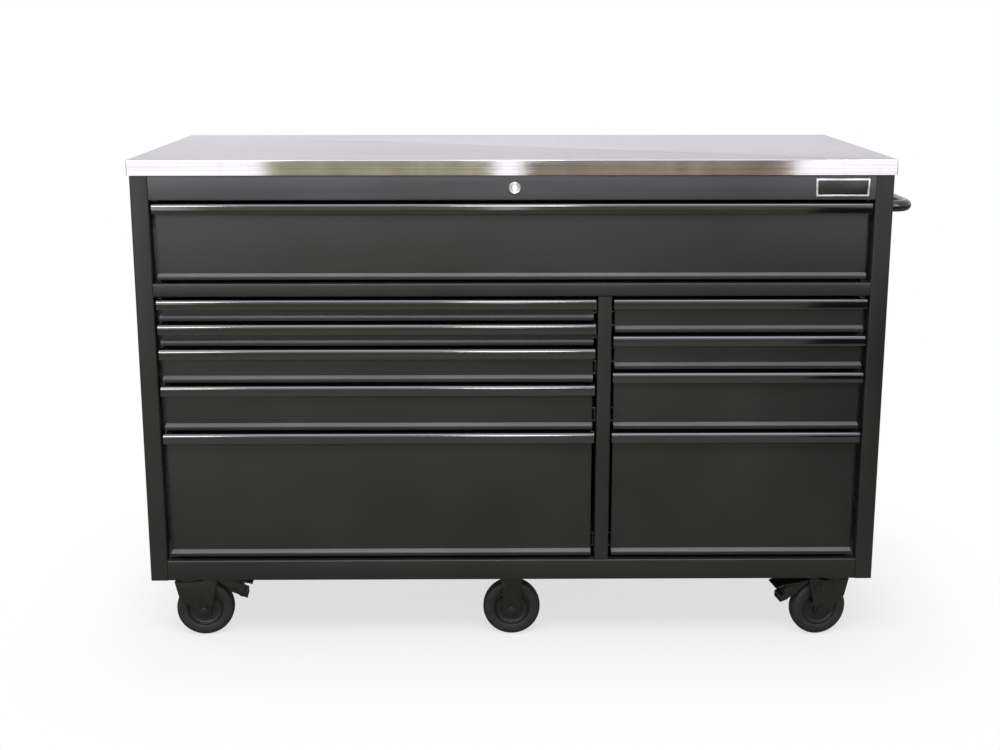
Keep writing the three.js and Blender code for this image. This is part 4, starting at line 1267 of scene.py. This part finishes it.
# %% Handle flanges
flange_rise = 5 * mm
shoulder = 1.8 * mm
throat_width, throat_depth = 2 * mm, 1 * mm
screw_radius = 3.2 * mm
screw_rise = 1.5 * mm
dome_shares = [(0, 1), (0.6, 0.92), (0.92, 0.5), (1, 0)]
cross_shares = [(0.24, 1.1), (1.1, 0.24)]


def screw_head(x, y, z):
    """A pan head that stands out along x, with a cross recess."""
    dome = [(out * screw_radius, up * screw_rise) for out, up in dome_shares]
    head = turned("screw", "x", dome + [(0, 0)], (x, y, z), 20)
    for wide, tall in cross_shares:
        half_y, half_z = wide * screw_radius / 2, tall * screw_radius / 2
        low = (x + 0.45 * screw_rise, y - half_y, z - half_z)
        high = (x + 1.5 * screw_rise, y + half_y, z + half_z)
        cut(head, block("cross", low, high))
    return head


for node in ("handle_flange_front", "handle_flange_rear"):
    low, high = box_of(node)
    y, z = (low.y + high.y) / 2, (low.z + high.z) / 2
    radius = (high.z - low.z) / 2
    top = low.x + flange_rise
    profile = [(0, low.x), (radius, low.x)]
    profile += arc((radius - shoulder, top - shoulder), shoulder, 0, 90, 5)
    seat = low.x + flange_rise / 2
    profile += [(tube + throat_width, top), (tube + fit, top - throat_depth), (tube + fit, seat), (0, seat)]
    flange = turned("flange", "x", profile, (0, y, z))
    reach = (radius + tube) / 2
    heads = [screw_head(top, y, z + side * reach) for side in (-1, 1)]
    settle(joined(node + "_disc", [flange] + heads), "chassis", handle_black, [node], 30)
print("flange radius", round(radius, 4), "with", len(heads), "screws each")

# %% [markdown]
# A caster is modelled about its own kingpin: x runs the way the wheel trails and z is up.
# Where each caster stands, and how it is turned, is read from the measured plate and wheel.
# All the pieces are made once and then copied to every corner.

# %% Where the casters stand
def middle_of(node):
    low, high = box_of(node)
    return (low + high) / 2


corners = {}
for corner in ("front_left", "front_right", "rear_left", "rear_right"):
    stand, wheel = middle_of("caster_plate_" + corner), middle_of("wheel_" + corner)
    corners[corner] = (stand, math.atan2(wheel.y - stand.y, wheel.x - stand.x))
    trail = math.hypot(wheel.y - stand.y, wheel.x - stand.x)
wheel_radius = 62.5 * mm
wheel_clearance = 3 * mm
fork_sheet = 3 * mm
plate_thickness = 4 * mm
plate_top = box_of("caster_plate_front_left")[1].z
plate_bottom = plate_top - plate_thickness
crown_bottom = 2 * wheel_radius + wheel_clearance
crown_top = crown_bottom + fork_sheet
leg_gap = 20 * mm
leg_outer = leg_gap + fork_sheet
print("trail", round(trail, 4), "turns", [round(math.degrees(t), 1) for _, t in corners.values()])

# %% [markdown]
# The wheel is a nylon centre with a rubber tyre moulded round it. Both are turned. The tyre
# has round shoulders, a slightly crowned tread and a groove where the rubber meets the
# centre, which shows as a dark ring. Six shallow dishes thin the centre on each side.

# %% Wheels
def both_sides(profile):
    return profile + [(radius, -place) for radius, place in reversed(profile)]


# Radius and distance from the middle of the wheel, in millimetres.
tyre_side = [(38.9, 11), (39.4, 13.6), (41.5, 14.8), (46, 15.6), (52, 16), (56, 15.2), (59.4, 12.8),
             (61.4, 9.6), (61.9, 7.4), (61.2, 7), (61.2, 6.4), (62.2, 6), (62.5, 2)]
centre_side = [(6.3, 18.5), (12.6, 18.5), (14, 17.2), (14.8, 9.6), (17, 8.4), (31.5, 8), (34.4, 9),
               (35.6, 12.2), (37.6, 12.6), (38.7, 11.4)]
dish_circle = 23.5 * mm
dish_radius = 5 * mm
dish_depth = 1.6 * mm
dish_place = 9 * mm
part_edge = 0.3 * mm


def wheel_part(name, side):
    """A turned part of the wheel about its axle."""
    profile = both_sides([(radius * mm, place * mm) for radius, place in side])
    return soften(turned(name, "y", profile + profile[:1], (0, 0, wheel_radius), 64), part_edge, 1, 50)


tyre_model = wheel_part("tyre_model", tyre_side)
centre_model = wheel_part("centre_model", centre_side)
for angle in range(0, 360, 60):
    turn = math.radians(angle)
    spot = (dish_circle * math.cos(turn), 0, dish_circle * math.sin(turn) + wheel_radius)
    for y in (-dish_place, dish_place):
        cut(centre_model, bar("dish", "y", dish_radius, y - dish_depth, y + dish_depth, spot, 20))
print("tyre faces", len(tyre_model.data.polygons), "centre faces", len(centre_model.data.polygons))

# %% [markdown]
# Rivets and the heads of the axle bolt are the small points of light seen on a fork. A head
# is a six-sided cylinder with a turned washer, and a rivet is a low turned dome. The rigid
# forks in the middle use the same bolt heads, but no rivets.

# %% Bolts, rivets and pins
bolt_radius = 9.5 * mm
bolt_rise = 5 * mm
bolt_edge = 0.9 * mm
washer_width = 2 * mm
washer_rise = 1.2 * mm
axle_radius = 5.9 * mm
rivet_radius = 3.2 * mm
rivet_rise_share = 0.55


def bolt_end(x, z, sign):
    """A hexagon head with its washer, standing out from a leg along y."""
    y = sign * leg_outer
    alone()
    middle = (x, y + sign * bolt_rise / 2, z)
    bpy.ops.mesh.primitive_cylinder_add(vertices=6, radius=bolt_radius, depth=bolt_rise, location=middle,
                                        rotation=(math.pi / 2, 0, 0))
    head = bpy.context.object
    bpy.ops.object.transform_apply(location=True, rotation=True, scale=True)
    soften(head, bolt_edge, 2, 30)
    washer = bar("washer", "y", bolt_radius + washer_width, y, y + sign * washer_rise, (x, 0, z), 32)
    return joined("axle_end", [head, washer])


def rivet(x, z, sign, radius=rivet_radius):
    """A low dome on the outer face of a leg."""
    y = sign * leg_outer
    turns = [math.radians(angle) for angle in (0, 30, 60, 90)]
    dome = [(radius * math.cos(a), y + sign * rivet_rise_share * radius * math.sin(a)) for a in turns]
    return turned("rivet", "y", [(0, y - sign * mm), (radius, y - sign * mm)] + dome, (x, 0, z), 20)


def cross_pin(name, x, z, radius):
    """A pin through both legs."""
    return bar(name, "y", radius, -leg_outer, leg_outer, (x, 0, z))


print("bolt heads", round(2 * bolt_radius, 4), "rivets", round(2 * rivet_radius, 4))

# %% [markdown]
# The swivel fork is pressed steel: two legs that narrow down to the axle, a crown across the
# top and a turned lower race. A leg is a plate drawn round its outline, with an arc about the
# axle and an ear for the pivot of the brake.

# %% Swivel fork
leg_edge = 0.7 * mm
crown_half = 30 * mm
crown_edge = 0.9 * mm
waist_x, waist_drop = -21 * mm, 39 * mm
axle_boss = 14 * mm
pivot_x, pivot_z = 54 * mm, crown_top
pivot_radius = 3 * mm
pivot_ear = 8 * mm
pivot_rivet_radius = 4 * mm
rivet_height = 112 * mm
rivet_places = (28 * mm, 41 * mm)
race_radius = 29 * mm
race_inner = 13 * mm
race_waist = 3 * mm
race_height = 7.5 * mm
race_overlap = 0.5 * mm
race_edge = 0.8 * mm


def swivel_leg(start, end):
    outline = [(-crown_half, crown_top), (waist_x, crown_top - waist_drop)]
    outline += arc((trail, wheel_radius), axle_boss, 198, 360, 12)
    outline += [(pivot_x + pivot_ear, pivot_z - pivot_ear), (pivot_x + pivot_ear, pivot_z + pivot_ear / 2),
                (pivot_x + pivot_ear / 2, pivot_z + pivot_ear), (pivot_x - pivot_ear, pivot_z + pivot_ear),
                (crown_half, crown_top)]
    return plate("leg", "y", outline, start, end, leg_edge)


def race(low, high, inner, waist):
    """A pressed race: a turned ring whose rim is rounded outwards."""
    profile = [(inner, low), (race_radius - waist, low), (race_radius, (low + high) / 2),
               (race_radius - waist, high), (inner, high), (inner, low)]
    return soften(turned("race", "z", profile, (0, 0, 0), 48), race_edge, 2, 40)


crown_low = (-crown_half, -leg_outer, crown_bottom)
crown_high = (crown_half, leg_outer, crown_top)
crown = block("crown", crown_low, crown_high, crown_edge)
parts = [crown, swivel_leg(leg_gap, leg_outer), swivel_leg(-leg_outer, -leg_gap),
         race(crown_top - race_overlap, crown_top + race_height, race_inner, race_waist)]
for sign in (-1, 1):
    parts.append(bolt_end(trail, wheel_radius, sign))
    parts += [rivet(x, rivet_height, sign) for x in rivet_places]
    parts.append(rivet(pivot_x, pivot_z, sign, pivot_rivet_radius))
parts.append(cross_pin("axle", trail, wheel_radius, axle_radius))
parts.append(cross_pin("pivot", pivot_x, pivot_z, pivot_radius))
fork_model = joined("fork_model", parts)
print("fork faces", len(fork_model.data.polygons))

# %% [markdown]
# The brake pedal is a pressed channel on a pivot. Two side plates end in a hook over the
# tread, and a web joins them. The outline is given as shares of the pedal's height, the same
# as in the measured model.

# %% Brake pedal's channel
pedal_half = 17 * mm
pedal_sheet = 3 * mm
pedal_edge = 0.6 * mm
web_bend = 4 * mm
web_start, web_drop = 2 * mm, 0.5 * mm
eye_radius = 6 * mm
eye_top = pivot_z + eye_radius
hook_bottom = 86 * mm
pedal_height = eye_top - hook_bottom
tread_gap = 6.8 * mm
clear_radius = wheel_radius + tread_gap
hook_shares = [(0.33, 0.4), (0.25, 0.67), (0.47, 0.77), (0.47, 1), (0.17, 0.92), (0.08, 0.83)]
tread_shares = (0.19, 0.24, 0.28, 0.32, 0.36)


def over_tread(share):
    """A point clear of the tread, by its share of half a turn."""
    turn = share * math.pi
    return (trail + clear_radius * math.cos(turn), wheel_radius + clear_radius * math.sin(turn))


hook_x = trail + clear_radius
hook = [(hook_x + out * pedal_height, eye_top - down * pedal_height) for out, down in hook_shares]
eye = arc((pivot_x, pivot_z), eye_radius, 250, 90, 6)
outline = [(pivot_x, eye_top)] + hook + [over_tread(share) for share in tread_shares] + eye[:-1]
sides = [plate("pedal_side", "y", outline, y, y + pedal_sheet, pedal_edge)
         for y in (-pedal_half, pedal_half - pedal_sheet)]
web_line = [(pivot_x + web_start, eye_top - pedal_sheet / 2)]
web_line += [(x - pedal_sheet / 2, z - web_drop) for x, z in hook[:4]]
web = folded("pedal_web", "y", web_line, -pedal_half + mm, pedal_half - mm, web_bend, pedal_sheet, 4)
print("pedal height", round(pedal_height, 4))

# %% [markdown]
# A wider step lies on the channel and takes the foot. It slopes down to a turned toe, and
# three raised ribs across it keep a shoe from slipping.

# %% Brake pedal's step
pedal_wing = 21 * mm
step_bend = 6 * mm
step_thickness = 4 * mm
step_edge = 1 * mm
near_share, far_share = 0.06, 0.25
near_drop, far_drop, toe_drop = 2.5 * mm, 0.5 * mm, 3 * mm
step_start, step_end, toe_end = 63.5 * mm, 128 * mm, 138 * mm
rib_places = (104 * mm, 112 * mm, 120 * mm)
rib_half, rib_height = 1.2 * mm, 2.7 * mm
rib_inset, rib_edge = 3 * mm, 0.8 * mm

near_z = eye_top - near_share * pedal_height - near_drop
far_z = eye_top - far_share * pedal_height - far_drop
step_line = [(step_start, near_z), (step_end, far_z), (toe_end, far_z - toe_drop)]
foot_step = folded("pedal_step", "y", step_line, -pedal_wing, pedal_wing, step_bend, step_thickness, 4)
soften(foot_step, step_edge, 2, 50)
step_slope = (far_z - near_z) / (step_end - step_start)
ribs = []
for x in rib_places:
    z = near_z + (x - step_start) * step_slope
    rib_low = (x - rib_half, -pedal_wing + rib_inset, z)
    rib_high = (x + rib_half, pedal_wing - rib_inset, z + rib_height)
    ribs.append(block("rib", rib_low, rib_high, rib_edge))
pedal_model = joined("pedal_model", sides + [web, foot_step] + ribs)
print("pedal faces", len(pedal_model.data.polygons))

# %% [markdown]
# Under the case each swivel caster hangs from a plate with four slotted bolt holes, which
# carries the upper race and the kingpin.

# %% Caster plates
plate_half = Vector((50, 43)) * mm
plate_corner = 8 * mm
plate_edge = 0.5 * mm
bolt_spot = Vector((37, 30)) * mm
bolt_slot_half = Vector((7, 4.5)) * mm
bolt_slot_corner = 4.4 * mm
upper_waist = 4 * mm


def upright_block(name, middle, half, low, high, corner):
    """A block about a point, with the corners that stand upright rounded."""
    piece = block(name, (*(middle - half), low), (*(middle + half), high))
    bpy.ops.object.mode_set(mode="EDIT")
    pick(piece, "EDGE", lambda c: along_axis(c, "z"))
    round_off(corner, 5)
    alone()
    return piece


def top_plate():
    """The plate that is bolted under the case, with four slots for its bolts."""
    piece = upright_block("plate", Vector((0, 0)), plate_half, plate_bottom, plate_top, plate_corner)
    for x in (-bolt_spot.x, bolt_spot.x):
        for y in (-bolt_spot.y, bolt_spot.y):
            slot = upright_block("slot", Vector((x, y)), bolt_slot_half, plate_bottom - mm, plate_top + mm,
                                 bolt_slot_corner)
            cut(piece, slot)
    return soften(piece, plate_edge, 2, 50)


race_bottom = crown_top + race_height + fit
kingpin_foot = crown_bottom - fit
kingpin_radius = 6 * mm
head_sides = [(0, 3.4 * mm), (4.5 * mm, 3.4 * mm), (8 * mm, 2.2 * mm), (9 * mm, 0)]
kingpin_profile = [(radius, kingpin_foot - drop) for radius, drop in head_sides]
kingpin_profile += [(kingpin_radius, kingpin_foot), (kingpin_radius, race_bottom + mm), (0, race_bottom + mm)]
plate_parts = [top_plate(), race(race_bottom, plate_bottom + race_overlap, kingpin_radius, upper_waist),
               turned("kingpin", "z", kingpin_profile, (0, 0, 0), 32)]
plate_model = joined("plate_model", plate_parts)
print("plate faces", len(plate_model.data.polygons))

# %% [markdown]
# The two middle casters don't swivel: their broad straight legs go up to a bridge under the
# same kind of plate.

# %% Rigid forks
rigid_top_half, rigid_waist_half, rigid_boss = 24 * mm, 21 * mm, 19 * mm
rigid_waist_height = 111 * mm
bridge_half = 22 * mm
bridge_depth = 3 * mm


def rigid_leg(start, end):
    top = plate_bottom + mm
    outline = [(-rigid_top_half, top), (-rigid_waist_half, rigid_waist_height)]
    outline += arc((0, wheel_radius), rigid_boss, 180, 360, 14)
    outline += [(rigid_waist_half, rigid_waist_height), (rigid_top_half, top)]
    return plate("leg", "y", outline, start, end, leg_edge)


bridge_low = (-bridge_half, -leg_outer, plate_bottom - bridge_depth)
bridge_high = (bridge_half, leg_outer, plate_bottom + mm)
bridge = block("bridge", bridge_low, bridge_high, mm)
parts = [top_plate(), bridge, rigid_leg(leg_gap, leg_outer), rigid_leg(-leg_outer, -leg_gap)]
parts += [bolt_end(0, wheel_radius, sign) for sign in (-1, 1)]
parts.append(cross_pin("axle", 0, wheel_radius, axle_radius))
rigid_model = joined("rigid_model", parts)
print("rigid fork faces", len(rigid_model.data.polygons))

# %% [markdown]
# Now every corner gets its copies. The plate stays still, the fork swivels with the wheel and
# the pedal, and the wheel rolls about its axle.

# %% Casters in place
def place_wheel(place, turn, hub):
    tyre = copied(tyre_model, f"caster_{place}_tyre")
    centre = copied(centre_model, f"caster_{place}_centre")
    body = "rolling_wheel_" + place
    settle(tyre, body, tyre_rubber, ["wheel_" + place], 30, turn, hub)
    settle(centre, body, wheel_nylon, (), 30, turn, hub)


for corner, (stand, turn) in corners.items():
    spot = Vector((stand.x, stand.y, 0))
    hub = spot + trail * Vector((math.cos(turn), math.sin(turn), 0))
    top = copied(plate_model, f"caster_{corner}_top")
    legs = copied(fork_model, f"caster_{corner}_legs")
    pedal = copied(pedal_model, f"caster_{corner}_pedal")
    settle(top, "chassis", bright_zinc, ["caster_plate_" + corner], 35, 0, spot)
    settle(legs, "swivel_" + corner, caster_paint, ["caster_fork_" + corner], 35, turn, spot)
    settle(pedal, "brake_" + corner, caster_paint, ["brake_pedal_" + corner], 35, turn, spot)
    place_wheel(corner, turn, hub)
for row in ("front_middle", "rear_middle"):
    spot = middle_of("wheel_" + row)
    spot.z = 0
    legs = copied(rigid_model, f"caster_{row}_legs")
    settle(legs, "chassis", caster_paint, ["rigid_fork_" + row], 35, 0, spot)
    place_wheel(row, 0, spot)
for model in (plate_model, fork_model, pedal_model, tyre_model, centre_model, rigid_model):
    bpy.data.objects.remove(model)
print("casters", len(corners) + 2)
